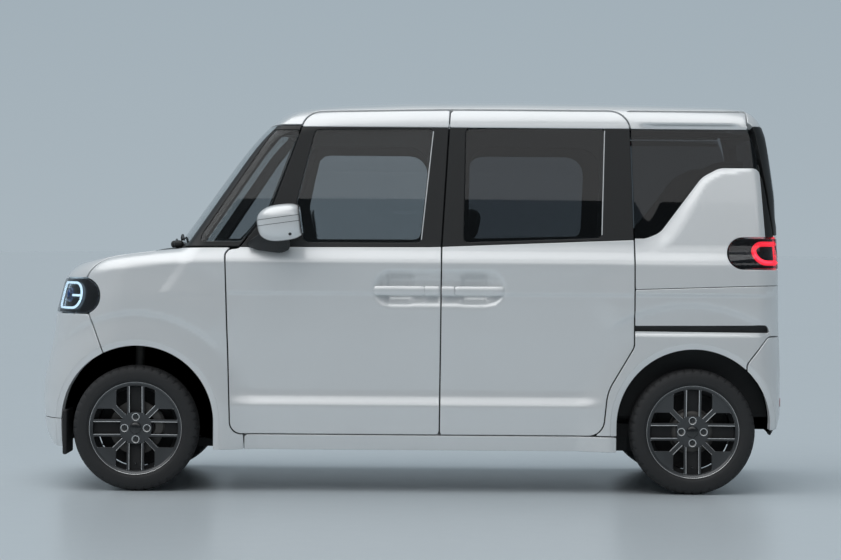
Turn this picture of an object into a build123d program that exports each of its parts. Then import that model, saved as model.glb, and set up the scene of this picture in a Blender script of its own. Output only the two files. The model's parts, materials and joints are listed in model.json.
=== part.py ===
"""A tall-wagon kei car, as an assembly of body panels, doors, glass, running gear and cabin pieces.

Millimetres. +X points to the rear, +Y to the car's right and +Z up; the origin is on the ground, midway
between the bumpers on the centre line. The left side is drawn and the right side is its mirror image.
"""

import os
from functools import lru_cache
from math import atan2, cos, hypot, radians, sin, tan

from build123d import *

# Overall sizes
WHEELBASE = 2495.0
FRONT_OVERHANG = 468.0
REAR_OVERHANG = 432.0
WIDTH = 1475.0
HEIGHT = 1785.0

# Wheels
TYRE_D = 562.0
TYRE_W = 165.0
RIM_D = 381.0
RIM_W = 130.0
FLANGE_H = 12.0
WHEEL_INSET = 87.5
HUB_BORE_R = 15.0
LUG_CIRCLE = 100.0
LUG_COUNT = 4

# Heights of the body's lines
SILL_Z = 188.0
DOOR_LOW_Z = 258.0
CREASE_Z = 392.0
SHOULDER_Z = 1035.0
BELT_Z = 1105.0
ROOF_RAIL_DEPTH = 140.0
ROOF_SHUT_DROP = 62.0
CROWN_DROP = 40.0
RAIL_INSET = 90.0

# Lengths along the body
DOOR_FROM_AXLE = 395.5
FRONT_DOOR_L = 965.0
ARCH_R = 333.0
ARCH_RISE = 37.0
NOSE_R = 2300.0
HOOD_ARC_R = 1511.0
SHIELD_R = 2400.0
SHIELD_RUN = 425.0
TAIL_R = 3000.0
TAIL_RUN = 61.0

# Walls and gaps
PANEL_T = 30.0
DOOR_T = 60.0
FRAME_T = 105.0
ROOF_T = 45.0
GLASS_IN = 12.0
GLASS_T = 5.0
DOOR_GAP = 9.0
SEAT_GAP = 0.3
POCKET_CLEAR = 6.0
FRAME_LAP = 45.0
PIN_R = 6.0
PIN_CLEAR = 0.08
BARREL_R = 10.0

# Places that follow from the sizes above
LENGTH = FRONT_OVERHANG + WHEELBASE + REAR_OVERHANG
X_FRONT = -LENGTH / 2
X_REAR = LENGTH / 2
HALF_W = WIDTH / 2
FRONT_AXLE_X = X_FRONT + FRONT_OVERHANG
REAR_AXLE_X = FRONT_AXLE_X + WHEELBASE
HUB_Z = TYRE_D / 2
WHEEL_Y = HALF_W - WHEEL_INSET
GLASS_TOP_Z = HEIGHT - ROOF_RAIL_DEPTH
ROOF_SHUT_Z = HEIGHT - ROOF_SHUT_DROP
DOOR_X = FRONT_AXLE_X + DOOR_FROM_AXLE
B_X = DOOR_X + FRONT_DOOR_L
SLIDE_END_X = REAR_AXLE_X - 264.5
SHIELD_X = FRONT_AXLE_X + 119.5
SHIELD_Z = 1082.0
SHIELD_RAKE = SHIELD_RUN / (HEIGHT - 113.0 - SHIELD_Z)
TAIL_Z = 970.0
TAIL_RAKE = TAIL_RUN / (ROOF_SHUT_Z - TAIL_Z)
TUMBLEHOME = RAIL_INSET / (GLASS_TOP_Z - BELT_Z)
HOOD_REAR_X = SHIELD_X - 35.0
DOOR_HEAD_Y = HALF_W - 190.0
FAR = 2.0 * LENGTH


# Outlines: a corner is (first, second, fillet radius)


def grown(corners, d):
    """The outline moved outwards by d on every edge, for a counter-clockwise list of corners."""
    out = []
    count = len(corners)
    for i, (x, z, r) in enumerate(corners):
        ax, az = x - corners[i - 1][0], z - corners[i - 1][1]
        bx, bz = corners[(i + 1) % count][0] - x, corners[(i + 1) % count][1] - z
        la, lb = hypot(ax, az), hypot(bx, bz)
        ax, az, bx, bz = ax / la, az / la, bx / lb, bz / lb
        turn = ax * bz - az * bx
        share = 1.0 + ax * bx + az * bz
        nx, nz = (az + bz) / share, -(ax + bx) / share
        out.append((x + d * nx, z + d * nz, max(0.0, r + d if turn > 0 else r - d) if r else 0.0))
    return out


def face_of(corners):
    """A flat face with each corner rounded to its own radius."""
    starts, ends, mids = [], [], []
    count = len(corners)
    for i, (x, z, r) in enumerate(corners):
        px, pz = corners[i - 1][0] - x, corners[i - 1][1] - z
        nx, nz = corners[(i + 1) % count][0] - x, corners[(i + 1) % count][1] - z
        lp, ln = hypot(px, pz), hypot(nx, nz)
        px, pz, nx, nz = px / lp, pz / lp, nx / ln, nz / ln
        half = abs(atan2(px * nz - pz * nx, px * nx + pz * nz)) / 2
        reach = r / tan(half) if r else 0.0
        starts.append((x + px * reach, z + pz * reach))
        ends.append((x + nx * reach, z + nz * reach))
        bx, bz = px + nx, pz + nz
        lb = hypot(bx, bz)
        depth = r / sin(half) - r if r else 0.0
        mids.append((x + bx / lb * depth, z + bz / lb * depth) if r else None)
    edges = []
    for i in range(count):
        if mids[i]:
            edges.append(ThreePointArc(starts[i], mids[i], ends[i]))
        edges.append(Line(ends[i], starts[(i + 1) % count]))
    return make_face(edges)


def side_prism(corners, y_from=0.0, y_to=FAR):
    """An outline of the side view (x, z), pushed out to the left from y_from to y_to."""
    return Pos(0, -y_from, 0) * extrude(Plane.XZ * face_of(corners), y_to - y_from)


def across(corners):
    """An outline of the side view (x, z), through the whole width."""
    return extrude(Plane.XZ * face_of(corners), FAR, both=True)


def block(x0, x1, y0, y1, z0, z1):
    """A box between two corners."""
    return Pos((x0 + x1) / 2, (y0 + y1) / 2, (z0 + z1) / 2) * Box(x1 - x0, y1 - y0, z1 - z0)


def right_of(left):
    """The mirror image on the car's right."""
    return mirror(left, about=Plane.XZ)


def both(left):
    """A left piece and its mirror image, as one node."""
    return Compound([*left.solids(), *right_of(left).solids()])


# The outer form: six simple blocks, each drawn in by the same inset, and what they share


def section_block(inset):
    """The front view of the sides and the roof, along the whole length."""
    w, top = HALF_W - inset, HEIGHT - inset
    low = SILL_Z - (FRAME_T if inset else 0.0)
    rail_z = GLASS_TOP_Z - inset
    rail_y = w - 22 - TUMBLEHOME * (rail_z - BELT_Z)
    half = [
        Line((0, low), (w - 47, low)),
        Line((w - 47, low), (w - 24, DOOR_LOW_Z)),
        Line((w - 24, DOOR_LOW_Z), (w - 3, CREASE_Z)),
        ThreePointArc((w - 3, CREASE_Z), (w - 10, 640), (w, SHOULDER_Z)),
        Line((w, SHOULDER_Z), (w - 22, BELT_Z)),
        Line((w - 22, BELT_Z), (rail_y, rail_z)),
        ThreePointArc((rail_y, rail_z), (rail_y - 23, rail_z + 63), (rail_y - 78, top - CROWN_DROP)),
    ]
    mirrored = [mirror(edge, about=Plane.YZ) for edge in half]
    crown = ThreePointArc((rail_y - 78, top - CROWN_DROP), (0, top), (78 - rail_y, top - CROWN_DROP))
    return extrude(Plane.YZ * make_face([*half, crown, *mirrored]), FAR, both=True)


def plan_block(inset):
    """The top view: rounded corners and slightly barrelled sides."""
    w, front, rear = HALF_W - inset, X_FRONT + inset, X_REAR - inset
    half = [
        Line((front - 30, 0), (front + 35, w - 317)),
        ThreePointArc((front + 35, w - 317), (front + 122, w - 103), (front + 330, w - 16)),
        ThreePointArc((front + 330, w - 16), (0, w + 3), (rear - 160, w - 12)),
        ThreePointArc((rear - 160, w - 12), (rear - 61, w - 53), (rear - 20, w - 152)),
    ]
    mirrored = [mirror(edge, about=Plane.XZ) for edge in half]
    tail = ThreePointArc((rear - 20, w - 152), (rear, 0), (rear - 20, 152 - w))
    return extrude(make_face([*half, tail, *mirrored]), FAR)


def tail_block(inset):
    """Everything ahead of the raked rear face."""
    w = HALF_W + 140
    rear = X_REAR - 16 + TAIL_RAKE * TAIL_Z - inset
    sag = w * w / (2 * TAIL_R)
    outline = [
        ThreePointArc((rear - sag, -w), (rear, 0), (rear - sag, w)),
        Line((rear - sag, w), (X_FRONT - 200, w)),
        Line((X_FRONT - 200, w), (X_FRONT - 200, -w)),
        Line((X_FRONT - 200, -w), (rear - sag, -w)),
    ]
    return extrude(make_face(outline), FAR, dir=(-TAIL_RAKE, 0, 1))


def roof_block(inset):
    """The side view of the roof line."""
    top = HEIGHT - inset
    front = FRONT_AXLE_X + 535 + inset
    rear = X_REAR - inset
    outline = [
        Line((X_FRONT - 200, 0), (X_FRONT - 200, top - 170)),
        Line((X_FRONT - 200, top - 170), (front, top - 113)),
        ThreePointArc((front, top - 113), (front + 134, top - 50), (front + 364, top - 19)),
        ThreePointArc((front + 364, top - 19), (front / 2 + rear / 2 + 30, top + 3), (rear - 270, top - 13)),
        ThreePointArc((rear - 270, top - 13), (rear - 115, top - 37), (rear - 62, top - 95)),
        Line((rear - 62, top - 95), (rear + 300, top - 200)),
        Line((rear + 300, top - 200), (rear + 300, 0)),
        Line((rear + 300, 0), (X_FRONT - 200, 0)),
    ]
    return extrude(Plane.XZ * make_face(outline), FAR, both=True)


def nose_block(inset):
    """The bumper, lamp and hood line, turned about an upright axis so that the nose is bowed in plan."""
    axis_x = X_FRONT + NOSE_R
    x, low = X_FRONT + inset, SILL_Z - (FRAME_T if inset else 0.0)
    outline = [
        Line((axis_x, low), (x + 85, low)),
        ThreePointArc((x + 85, low), (x + 25, 237), (x + 5, 340)),
        ThreePointArc((x + 5, 340), (x, 440), (x + 18, 555)),
        Line((x + 18, 555), (x + 50, 690)),
        Line((x + 50, 690), (x + 86, 947 - inset)),
        ThreePointArc((x + 86, 947 - inset), (x + 112, 979 - inset), (x + 166, 1008 - inset)),
        ThreePointArc((x + 166, 1008 - inset), (x + 345, 1058 - inset), (x + 575, 1088 - inset)),
        Line((x + 575, 1088 - inset), (axis_x, 1120 - inset)),
        Line((axis_x, 1120 - inset), (axis_x, low)),
    ]
    return revolve(Plane.XZ * make_face(outline), Axis((axis_x, 0, 0), (0, 0, 1)))


def shoulder_block(inset):
    """A drum that rounds the fenders' top edges along the hood's own arc."""
    centre_x, centre_z = X_FRONT + 657.7, 1094.0 - HOOD_ARC_R - 4
    r, w = HOOD_ARC_R + 4 - inset, HALF_W + 2 - inset
    outline = [(0, -w, 0), (r, -w, 120 - inset / 2), (r, w, 120 - inset / 2), (0, w, 0)]
    plane = Plane(origin=(centre_x, 0, centre_z), x_dir=(0, 0, 1), z_dir=(-1, 0, 0))
    return revolve(plane * face_of(outline), Axis((centre_x, 0, centre_z), (0, 1, 0)))


def cab_block(inset):
    """Everything behind the raked, bowed windshield."""
    w = HALF_W + 40
    sag = w * w / (2 * SHIELD_R)
    x = SHIELD_X - SHIELD_Z * SHIELD_RAKE + inset * hypot(1, SHIELD_RAKE)
    outline = [
        ThreePointArc((x + sag, -w), (x, 0), (x + sag, w)),
        Line((x + sag, w), (FAR, w)),
        Line((FAR, w), (FAR, -w)),
        Line((FAR, -w), (x + sag, -w)),
    ]
    behind = extrude(make_face(outline), FAR, dir=(SHIELD_RAKE, 0, 1))
    return behind & block(HOOD_REAR_X - 30, FAR, -w, w, 0, FAR)


@lru_cache(maxsize=None)
def body(inset):
    """The closed outer form, drawn in by inset."""
    hull = section_block(inset) & plan_block(inset) & tail_block(inset) & roof_block(inset)
    return hull & ((nose_block(inset) & shoulder_block(inset)) + cab_block(inset))


@lru_cache(maxsize=None)
def layer(outer, inner):
    """The skin between two insets."""
    return body(outer) - body(inner)


# Outlines of the side view, counter-clockwise seen from the left with x to the right

FRONT_DOOR = [
    (B_X, DOOR_LOW_Z, 0),
    (B_X + 5, BELT_Z, 0),
    (B_X + 41, ROOF_SHUT_Z, 0),
    (DOOR_X + 362, ROOF_SHUT_Z - 12, 90),
    (DOOR_X + 208, BELT_Z + 172, 120),
    (DOOR_X + 62, BELT_Z - 12, 20),
    (DOOR_X, BELT_Z - 20, 45),
    (DOOR_X + 28, DOOR_LOW_Z, 55),
]
FRONT_WINDOW = [
    (B_X - 88, BELT_Z + 15, 20),
    (B_X - 34, GLASS_TOP_Z - 12, 20),
    (DOOR_X + 398, GLASS_TOP_Z - 18, 25),
    (DOOR_X + 316, BELT_Z + 185, 120),
    (DOOR_X + 352, BELT_Z + 13, 30),
]
SLIDING_DOOR = [
    (SLIDE_END_X - 139, DOOR_LOW_Z, 75),
    (SLIDE_END_X - 118, DOOR_LOW_Z + 202, 200),
    (SLIDE_END_X, DOOR_LOW_Z + 402, 60),
    (SLIDE_END_X - 1, BELT_Z - 10, 0),
    (SLIDE_END_X - 21, ROOF_SHUT_Z, 95),
    (B_X + 41, ROOF_SHUT_Z, 0),
    (B_X + 5, BELT_Z, 0),
    (B_X, DOOR_LOW_Z, 0),
]
REAR_WINDOW = [
    (SLIDE_END_X - 149, BELT_Z + 26, 20),
    (SLIDE_END_X - 134, GLASS_TOP_Z - 4, 20),
    (B_X + 110, GLASS_TOP_Z - 9, 20),
    (B_X + 103, BELT_Z + 18, 20),
]
QUARTER_WINDOW = [
    (SLIDE_END_X + 22, BELT_Z + 48, 12),
    (SLIDE_END_X + 92, BELT_Z + 48, 90),
    (X_REAR - 367, GLASS_TOP_Z - 180, 90),
    (X_REAR - 178, GLASS_TOP_Z - 180, 30),
    (X_REAR - 168, GLASS_TOP_Z - 14, 12),
    (SLIDE_END_X + 10, GLASS_TOP_Z - 10, 12),
]
FRONT_QUARTER = [
    (DOOR_X + 30, BELT_Z + 18, 8),
    (DOOR_X + 170, BELT_Z + 170, 60),
    (DOOR_X + 300, GLASS_TOP_Z - 20, 10),
    (DOOR_X + 216, GLASS_TOP_Z - 20, 10),
    (DOOR_X - 86, BELT_Z + 74, 20),
    (DOOR_X - 88, BELT_Z + 18, 10),
]
LAMP_LOW_Z, LAMP_TOP_Z, LAMP_END_X = 793.0, 951.0, FRONT_AXLE_X - 165.5
HEADLAMP = [
    (LAMP_END_X, LAMP_LOW_Z, 78),
    (LAMP_END_X, LAMP_TOP_Z, 78),
    (X_FRONT - 60, LAMP_TOP_Z, 0),
    (X_FRONT - 60, LAMP_LOW_Z, 0),
]
TAIL_LOW_Z, TAIL_TOP_Z, TAIL_LAMP_X = 1013.0, 1152.0, X_REAR - 281.0
TAIL_LAMP = [
    (TAIL_LAMP_X, TAIL_LOW_Z, 69),
    (X_REAR + 60, TAIL_LOW_Z, 0),
    (X_REAR + 60, TAIL_TOP_Z, 0),
    (TAIL_LAMP_X, TAIL_TOP_Z, 69),
]
BUMPER_TOP_Z = 710.0
REAR_BUMPER = [
    (REAR_AXLE_X + 239, 0, 0),
    (X_REAR + 60, 0, 0),
    (X_REAR + 60, BUMPER_TOP_Z, 0),
    (X_REAR - 95, BUMPER_TOP_Z, 0),
    (REAR_AXLE_X + 239, BUMPER_TOP_Z - 124, 0),
]
FRONT_BUMPER = [
    (X_FRONT - 60, 0, 0),
    (FRONT_AXLE_X - 140, 0, 0),
    (FRONT_AXLE_X - 140, LAMP_LOW_Z - 190, 0),
    (FRONT_AXLE_X - 216, LAMP_LOW_Z, 0),
    (X_FRONT - 60, LAMP_LOW_Z, 0),
]
GATE_LOW_Z = 520.0
GATE_HALF = HALF_W - 100.0
GATE_UPPER = [
    (X_REAR - 112, TAIL_TOP_Z + DOOR_GAP, 0),
    (X_REAR + 100, TAIL_TOP_Z + DOOR_GAP, 0),
    (X_REAR + 100, HEIGHT + 50, 0),
    (X_REAR - 195, HEIGHT + 50, 0),
    (X_REAR - 181, ROOF_SHUT_Z, 0),
    (X_REAR - 150, GLASS_TOP_Z, 0),
    (X_REAR - 132, GLASS_TOP_Z - 164, 0),
]
GATE_WINDOW = [
    (HALF_W - 120, TAIL_TOP_Z + 40, 60),
    (HALF_W - 190, GLASS_TOP_Z - 25, 50),
    (190 - HALF_W, GLASS_TOP_Z - 25, 50),
    (120 - HALF_W, TAIL_TOP_Z + 40, 60),
]
GATE_OPENING = [
    (HALF_W - 145, GATE_LOW_Z + 45, 30),
    (HALF_W - 150, TAIL_TOP_Z, 0),
    (HALF_W - 215, GLASS_TOP_Z - 5, 40),
    (215 - HALF_W, GLASS_TOP_Z - 5, 40),
    (150 - HALF_W, TAIL_TOP_Z, 0),
    (145 - HALF_W, GATE_LOW_Z + 45, 30),
]
HOOD_HALF = HALF_W - 87.0
SHIELD_OPENING = [
    (HALF_W - 85, BELT_Z, 25),
    (HALF_W - 150, GLASS_TOP_Z - 5, 25),
    (150 - HALF_W, GLASS_TOP_Z - 5, 25),
    (85 - HALF_W, BELT_Z, 25),
]


def front_prism(corners, x_from, x_to):
    """An outline of the front view (y, z), from x_from to x_to."""
    return Pos(x_from, 0, 0) * extrude(Plane.YZ * face_of(corners), x_to - x_from)


def arch(axle_x, radius, y_from, y_to):
    """A wheel arch: a round top with straight legs down past the sill, on the left."""
    top = Pos(axle_x + 3, -(y_from + y_to) / 2, HUB_Z + ARCH_RISE) * Rot(90, 0, 0) * Cylinder(radius, y_to - y_from)
    legs = block(axle_x + 3 - radius, axle_x + 3 + radius, -y_to, -y_from, -FAR, HUB_Z + ARCH_RISE)
    return top + legs


def gate_region(gap):
    """The tailgate's share of the rear: a wrap-round upper part and a flat lower part."""
    upper = across(grown(GATE_UPPER, gap))
    half, low = GATE_HALF + gap, GATE_LOW_Z - gap
    lower = block(X_REAR - 240, X_REAR + 100, -half, half, low, TAIL_TOP_Z + DOOR_GAP + 20)
    return upper + lower


def door_space(corners):
    """What a door takes out of the body side: its own pocket, and the opening inside it."""
    inner = DOOR_HEAD_Y - POCKET_CLEAR
    pocket = side_prism(grown(corners, DOOR_GAP / 2), inner) - body(DOOR_T + POCKET_CLEAR)
    return pocket + side_prism(grown(corners, -FRAME_LAP))


# Hinges: the moving part carries a pin across a notch, and a barrel on the body runs on it

DOOR_HINGE_X = DOOR_X + DOOR_GAP / 2 + 50.0
DOOR_HINGE_Y = HALF_W - 24.0
DOOR_HINGE_Z = (430.0, 930.0)
HINGE_H = 70.0
DOOR_SWING_R = 72.0
GATE_HINGE_X = X_REAR - 150.0
GATE_HINGE_Z = HEIGHT - 44.0
GATE_HINGE_Y = HALF_W - 320.0
GATE_SWING_R = 55.0
HOOD_HINGE_X = HOOD_REAR_X - 70.0
HOOD_HINGE_Z = 1060.0
HOOD_HINGE_Y = HALF_W - 330.0
COWL_SHELF_Z = 985.0


def upright_cylinder(x, y, z0, z1, r):
    """A cylinder along Z."""
    return Pos(x, y, (z0 + z1) / 2) * Cylinder(r, z1 - z0)


def forward_cylinder(x0, x1, y, z, r):
    """A cylinder along X."""
    return Pos((x0 + x1) / 2, y, z) * Rot(0, 90, 0) * Cylinder(r, x1 - x0)


def cross_cylinder(x, y0, y1, z, r):
    """A cylinder along Y."""
    return Pos(x, (y0 + y1) / 2, z) * Rot(90, 0, 0) * Cylinder(r, abs(y1 - y0))


def door_hinge_notches():
    """Room in the door for the barrels and their straps, open to the front and to the cabin."""
    x, y = DOOR_HINGE_X, -DOOR_HINGE_Y
    cuts = [
        block(DOOR_X - 20, x + 16, y - BARREL_R - 1.5, y + 150, z - HINGE_H / 2, z + HINGE_H / 2)
        for z in DOOR_HINGE_Z
    ]
    return cuts[0] + cuts[1]


def door_hinge_pins():
    """The pins that stand across the notches, rooted in the door above and below."""
    pins = [
        upright_cylinder(DOOR_HINGE_X, -DOOR_HINGE_Y, z - HINGE_H / 2 - 15, z + HINGE_H / 2 + 15, PIN_R)
        for z in DOOR_HINGE_Z
    ]
    return pins[0] + pins[1]


def door_hinge_leaves():
    """The pillar behind the door's front edge, with a strap and a bored barrel at each hinge."""
    x, y = DOOR_HINGE_X, -DOOR_HINGE_Y
    pillar = block(x - 92, x + 60, y + DOOR_SWING_R, y + 125, DOOR_LOW_Z - 20, BELT_Z - 70)
    foot = block(x - 92, x + 60, -(HALF_W - DOOR_T - 25), y + 125, SILL_Z + 20, DOOR_LOW_Z - 20)
    leaves = pillar + foot
    for z in DOOR_HINGE_Z:
        low, high = z - HINGE_H / 2 + 12, z + HINGE_H / 2 - 12
        leaves += block(x - 7, x + 7, y, y + DOOR_SWING_R + 5, low, high) + upright_cylinder(x, y, low, high, BARREL_R)
        leaves -= upright_cylinder(x, y, low - 1, high + 1, PIN_R + PIN_CLEAR)
    return leaves


def gate_hinge(part):
    """One side of the tailgate's left hinge: its notch, its pin or the roof's leaf."""
    x, y, z = GATE_HINGE_X, -GATE_HINGE_Y, GATE_HINGE_Z
    if part == "notch":
        return block(x - 90, x + 14, y - 35, y + 35, z - 105, z + BARREL_R + 1)
    if part == "pin":
        return cross_cylinder(x, y - 50, y + 50, z, PIN_R)
    strap = block(x - 7, x + 7, y - 23, y + 23, z - 95, z)
    foot = block(x - 75, x + 7, y - 23, y + 23, z - 95, z - 75)
    barrel = cross_cylinder(x, y - 23, y + 23, z, BARREL_R)
    return strap + foot + barrel - cross_cylinder(x, y - 24, y + 24, z, PIN_R + PIN_CLEAR)


def hood_hinge(part):
    """One side of the hood's left hinge: its notch, its pin or the cowl's leaf."""
    x, y, z = HOOD_HINGE_X, -HOOD_HINGE_Y, HOOD_HINGE_Z
    if part == "notch":
        return block(x - 14, x + 90, y - 30, y + 30, z - 60, z + BARREL_R + 1)
    if part == "pin":
        return cross_cylinder(x, y - 45, y + 45, z, PIN_R)
    strap = block(x - 7, x + 7, y - 20, y + 20, COWL_SHELF_Z - 5, z)
    barrel = cross_cylinder(x, y - 20, y + 20, z, BARREL_R)
    return strap + barrel - cross_cylinder(x, y - 21, y + 21, z, PIN_R + PIN_CLEAR)


# Doors and glass


def front_door_left():
    """A front door: panel, roof-rail head and window frame, with its hinge pins."""
    panel = layer(0, DOOR_T) & side_prism(grown(FRONT_DOOR, -DOOR_GAP / 2), DOOR_HEAD_Y)
    return panel - side_prism(FRONT_WINDOW) - door_hinge_notches() + (door_hinge_pins() & body(0))


def sliding_door_left():
    """A sliding rear door, with the roller arm that runs in the rail behind it."""
    panel = layer(0, DOOR_T) & side_prism(grown(SLIDING_DOOR, -DOOR_GAP / 2), DOOR_HEAD_Y)
    roller = RAIL_H / 2 - SEAT_GAP
    arm = block(SLIDE_END_X - 60, SLIDE_END_X + 90, -(HALF_W - 34), -(HALF_W - 56), RAIL_Z - roller, RAIL_Z + roller)
    return panel - side_prism(REAR_WINDOW) + arm


def pane(corners):
    """A sheet of glass set into a window of the left side."""
    return layer(GLASS_IN, GLASS_IN + GLASS_T) & side_prism(grown(corners, -SEAT_GAP))


def tailgate():
    """The tailgate, with its window cut and its hinge pins."""
    gate = layer(0, DOOR_T) & gate_region(-DOOR_GAP / 2)
    gate -= front_prism(GATE_WINDOW, X_REAR - 180, X_REAR + 100)
    notches, pins = gate_hinge("notch"), gate_hinge("pin")
    gate -= notches + right_of(notches)
    return gate + ((pins + right_of(pins)) & body(0))


def tailgate_glass():
    """The tailgate's window."""
    return layer(GLASS_IN, GLASS_IN + GLASS_T) & front_prism(grown(GATE_WINDOW, -SEAT_GAP), X_REAR - 180, X_REAR + 100)


def hood():
    """The hood, with its hinge pins at the rear corners."""
    half = HOOD_HALF - DOOR_GAP / 2
    region = block(X_FRONT - 60, HOOD_REAR_X - DOOR_GAP / 2, -half, half, LAMP_TOP_Z + DOOR_GAP / 2, HEIGHT)
    notches, pins = hood_hinge("notch"), hood_hinge("pin")
    panel = (layer(0, PANEL_T) & region) - (notches + right_of(notches))
    return panel + ((pins + right_of(pins)) & body(0))


def windshield():
    """The windshield."""
    region = front_prism(grown(SHIELD_OPENING, -SEAT_GAP), X_FRONT, FRONT_AXLE_X + 700)
    return layer(GLASS_IN, GLASS_IN + GLASS_T) & region


# Fixed body panels

PLATE_BOLTS = 210.0
PLATE_HOLE_R = 3.3
PLATE_Z = 420.0
RAIL_Z = 748.0
RAIL_H = 24.0
LAMP_HALF = HALF_W - 342.5
COWL_HALF = HALF_W - 98.0
WALL_X = FRONT_AXLE_X + 345.0
WALL_T = 25.0
FLOOR_Z = 245.0
FLOOR_T = 30.0
STEP_X, STEP_Z = B_X + 440.0, 360.0
BOOT_X, BOOT_Z = REAR_AXLE_X - 165.0, 500.0
ARM_X = REAR_AXLE_X - 365.0


def hood_region(gap):
    """The hood's share of the nose, with a gap round it."""
    half = HOOD_HALF + gap
    return block(X_FRONT - 60, HOOD_REAR_X + gap, -half, half, LAMP_TOP_Z - gap, HEIGHT)


def front_fender_left():
    """A front fender, from the lamp and bumper back to the door."""
    fender = layer(0, PANEL_T) & block(X_FRONT, DOOR_X - DOOR_GAP / 2, -FAR, -COWL_HALF + 8, SILL_Z, BELT_Z)
    fender -= block(HOOD_REAR_X, FAR, -COWL_HALF - SEAT_GAP, 0, 0, HEIGHT)
    fender -= hood_region(DOOR_GAP / 2) + side_prism(grown(HEADLAMP, SEAT_GAP))
    fender -= across(grown(FRONT_BUMPER, SEAT_GAP)) + side_prism(grown(FRONT_DOOR, DOOR_GAP / 2))
    fender -= arch(FRONT_AXLE_X, ARCH_R, 0, FAR)
    return fender & block(X_FRONT, DOOR_X, -FAR, 0, SILL_Z, BELT_Z - SEAT_GAP)


def front_bumper():
    """The front bumper, with the two bosses for the plate's bolts."""
    bumper = layer(0, PANEL_T) & across(FRONT_BUMPER)
    wheel = arch(FRONT_AXLE_X, ARCH_R, 0, FAR)
    bumper -= wheel & block(X_FRONT + 150, FAR, -FAR, 0, 0, HEIGHT)
    bumper -= right_of(wheel) & block(X_FRONT + 150, FAR, 0, FAR, 0, HEIGHT)
    for y in (-PLATE_BOLTS / 2, PLATE_BOLTS / 2):
        bumper += forward_cylinder(X_FRONT, X_FRONT + PANEL_T - 2, y, PLATE_Z, 14)
        bumper -= forward_cylinder(X_FRONT - 5, X_FRONT + 2 * PANEL_T, y, PLATE_Z, PLATE_HOLE_R)
    return bumper


def headlamp_left():
    """A headlamp unit that wraps round the corner."""
    return layer(0, 90) & side_prism(HEADLAMP, LAMP_HALF)


def front_grille():
    """The closed panel between the headlamps."""
    half = LAMP_HALF - SEAT_GAP
    return layer(0, PANEL_T) & block(X_FRONT - 60, X_FRONT + 300, -half, half, LAMP_LOW_Z + SEAT_GAP, LAMP_TOP_Z - DOOR_GAP / 2)


def cowl_bulkhead():
    """The wall between engine and cabin, the cowl under the windshield and the hood's hinge leaves."""
    inner, shelf_half = HALF_W - 175, HALF_W - 153
    cowl_x = HOOD_REAR_X + DOOR_GAP / 2 + 2
    wall = block(WALL_X, WALL_X + WALL_T, -inner, inner, FLOOR_Z - FLOOR_T, COWL_SHELF_Z)
    shelf = block(HOOD_HINGE_X - 12, WALL_X + WALL_T, -shelf_half, shelf_half, COWL_SHELF_Z - 25, COWL_SHELF_Z)
    skin = layer(0, FRAME_T) & block(cowl_x, WALL_X, -COWL_HALF, COWL_HALF, COWL_SHELF_Z - 5, BELT_Z - SEAT_GAP)
    leaves = hood_hinge("leaf")
    cowl = wall + shelf + skin + leaves + right_of(leaves)
    wells = arch(FRONT_AXLE_X, ARCH_R + 20, WELL_Y, FAR)
    return cowl - wells - right_of(wells)


def frame_left():
    """The left half of the body's frame: outer skin to inner wall, with the door openings cut."""
    frame = layer(0, FRAME_T) & block(WALL_X - 30, X_REAR, -FAR, 0, SILL_Z, HEIGHT)
    frame -= door_space(FRONT_DOOR) + door_space(SLIDING_DOOR)
    frame -= front_prism(GATE_OPENING, X_REAR - 320, X_REAR)
    return frame - gate_region(DOOR_GAP / 2) - front_prism(SHIELD_OPENING, X_FRONT, FRONT_AXLE_X + 700)


def body_side_left():
    """Pillars, sill and rear quarter of the left side, with its door hinges and slide rail."""
    side = frame_left() & block(WALL_X - 30, X_REAR, -FAR, -(HALF_W - 260), SILL_Z, GLASS_TOP_Z)
    side -= block(X_FRONT, DOOR_X + 20, -FAR, 0, 0, BELT_Z) - body(PANEL_T + SEAT_GAP)
    side -= block(X_FRONT, WALL_X + WALL_T, -(COWL_HALF + 2), 0, 0, BELT_Z)
    side -= upright_cylinder(DOOR_HINGE_X, -DOOR_HINGE_Y, DOOR_LOW_Z - 15, BELT_Z - 5, DOOR_SWING_R)
    side -= side_prism(FRONT_QUARTER) + side_prism(QUARTER_WINDOW)
    side -= side_prism(grown(TAIL_LAMP, SEAT_GAP), HALF_W - 150) + side_prism(grown(REAR_BUMPER, SEAT_GAP))
    side -= arch(FRONT_AXLE_X, ARCH_R + 20, WELL_Y, FAR) + arch(REAR_AXLE_X, ARCH_R, 0, FAR)
    rail = block(SLIDE_END_X - 30, X_REAR - 100, -FAR, -(HALF_W - 62), RAIL_Z - RAIL_H / 2, RAIL_Z + RAIL_H / 2)
    side -= rail
    return side + door_hinge_leaves()


def roof_panel():
    """The roof, thick along its edges, with the tailgate's hinge leaves on its rear header."""
    left = frame_left() & block(WALL_X, X_REAR, -FAR, 0, GLASS_TOP_Z + SEAT_GAP, HEIGHT)
    left -= block(WALL_X, X_REAR, -(HALF_W - 330), 0, 0, HEIGHT) & body(ROOF_T)
    header = block(GATE_HINGE_X - 120, GATE_HINGE_X - 60, -(HALF_W - 260), 0, GATE_HINGE_Z - 95, HEIGHT) & body(5)
    left -= cross_cylinder(GATE_HINGE_X, -FAR, 0, GATE_HINGE_Z, GATE_SWING_R)
    left += header + gate_hinge("leaf")
    return left + right_of(left)


def rear_bumper():
    """The rear bumper."""
    bumper = layer(0, 40) & across(REAR_BUMPER)
    bumper -= gate_region(DOOR_GAP / 2)
    wheel = arch(REAR_AXLE_X, ARCH_R, 0, FAR)
    return bumper - wheel - right_of(wheel)


def tail_lamp_left():
    """A tail lamp that wraps round the rear corner, beside the tailgate."""
    return layer(0, 70) & side_prism(TAIL_LAMP, GATE_HALF + DOOR_GAP / 2)


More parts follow.
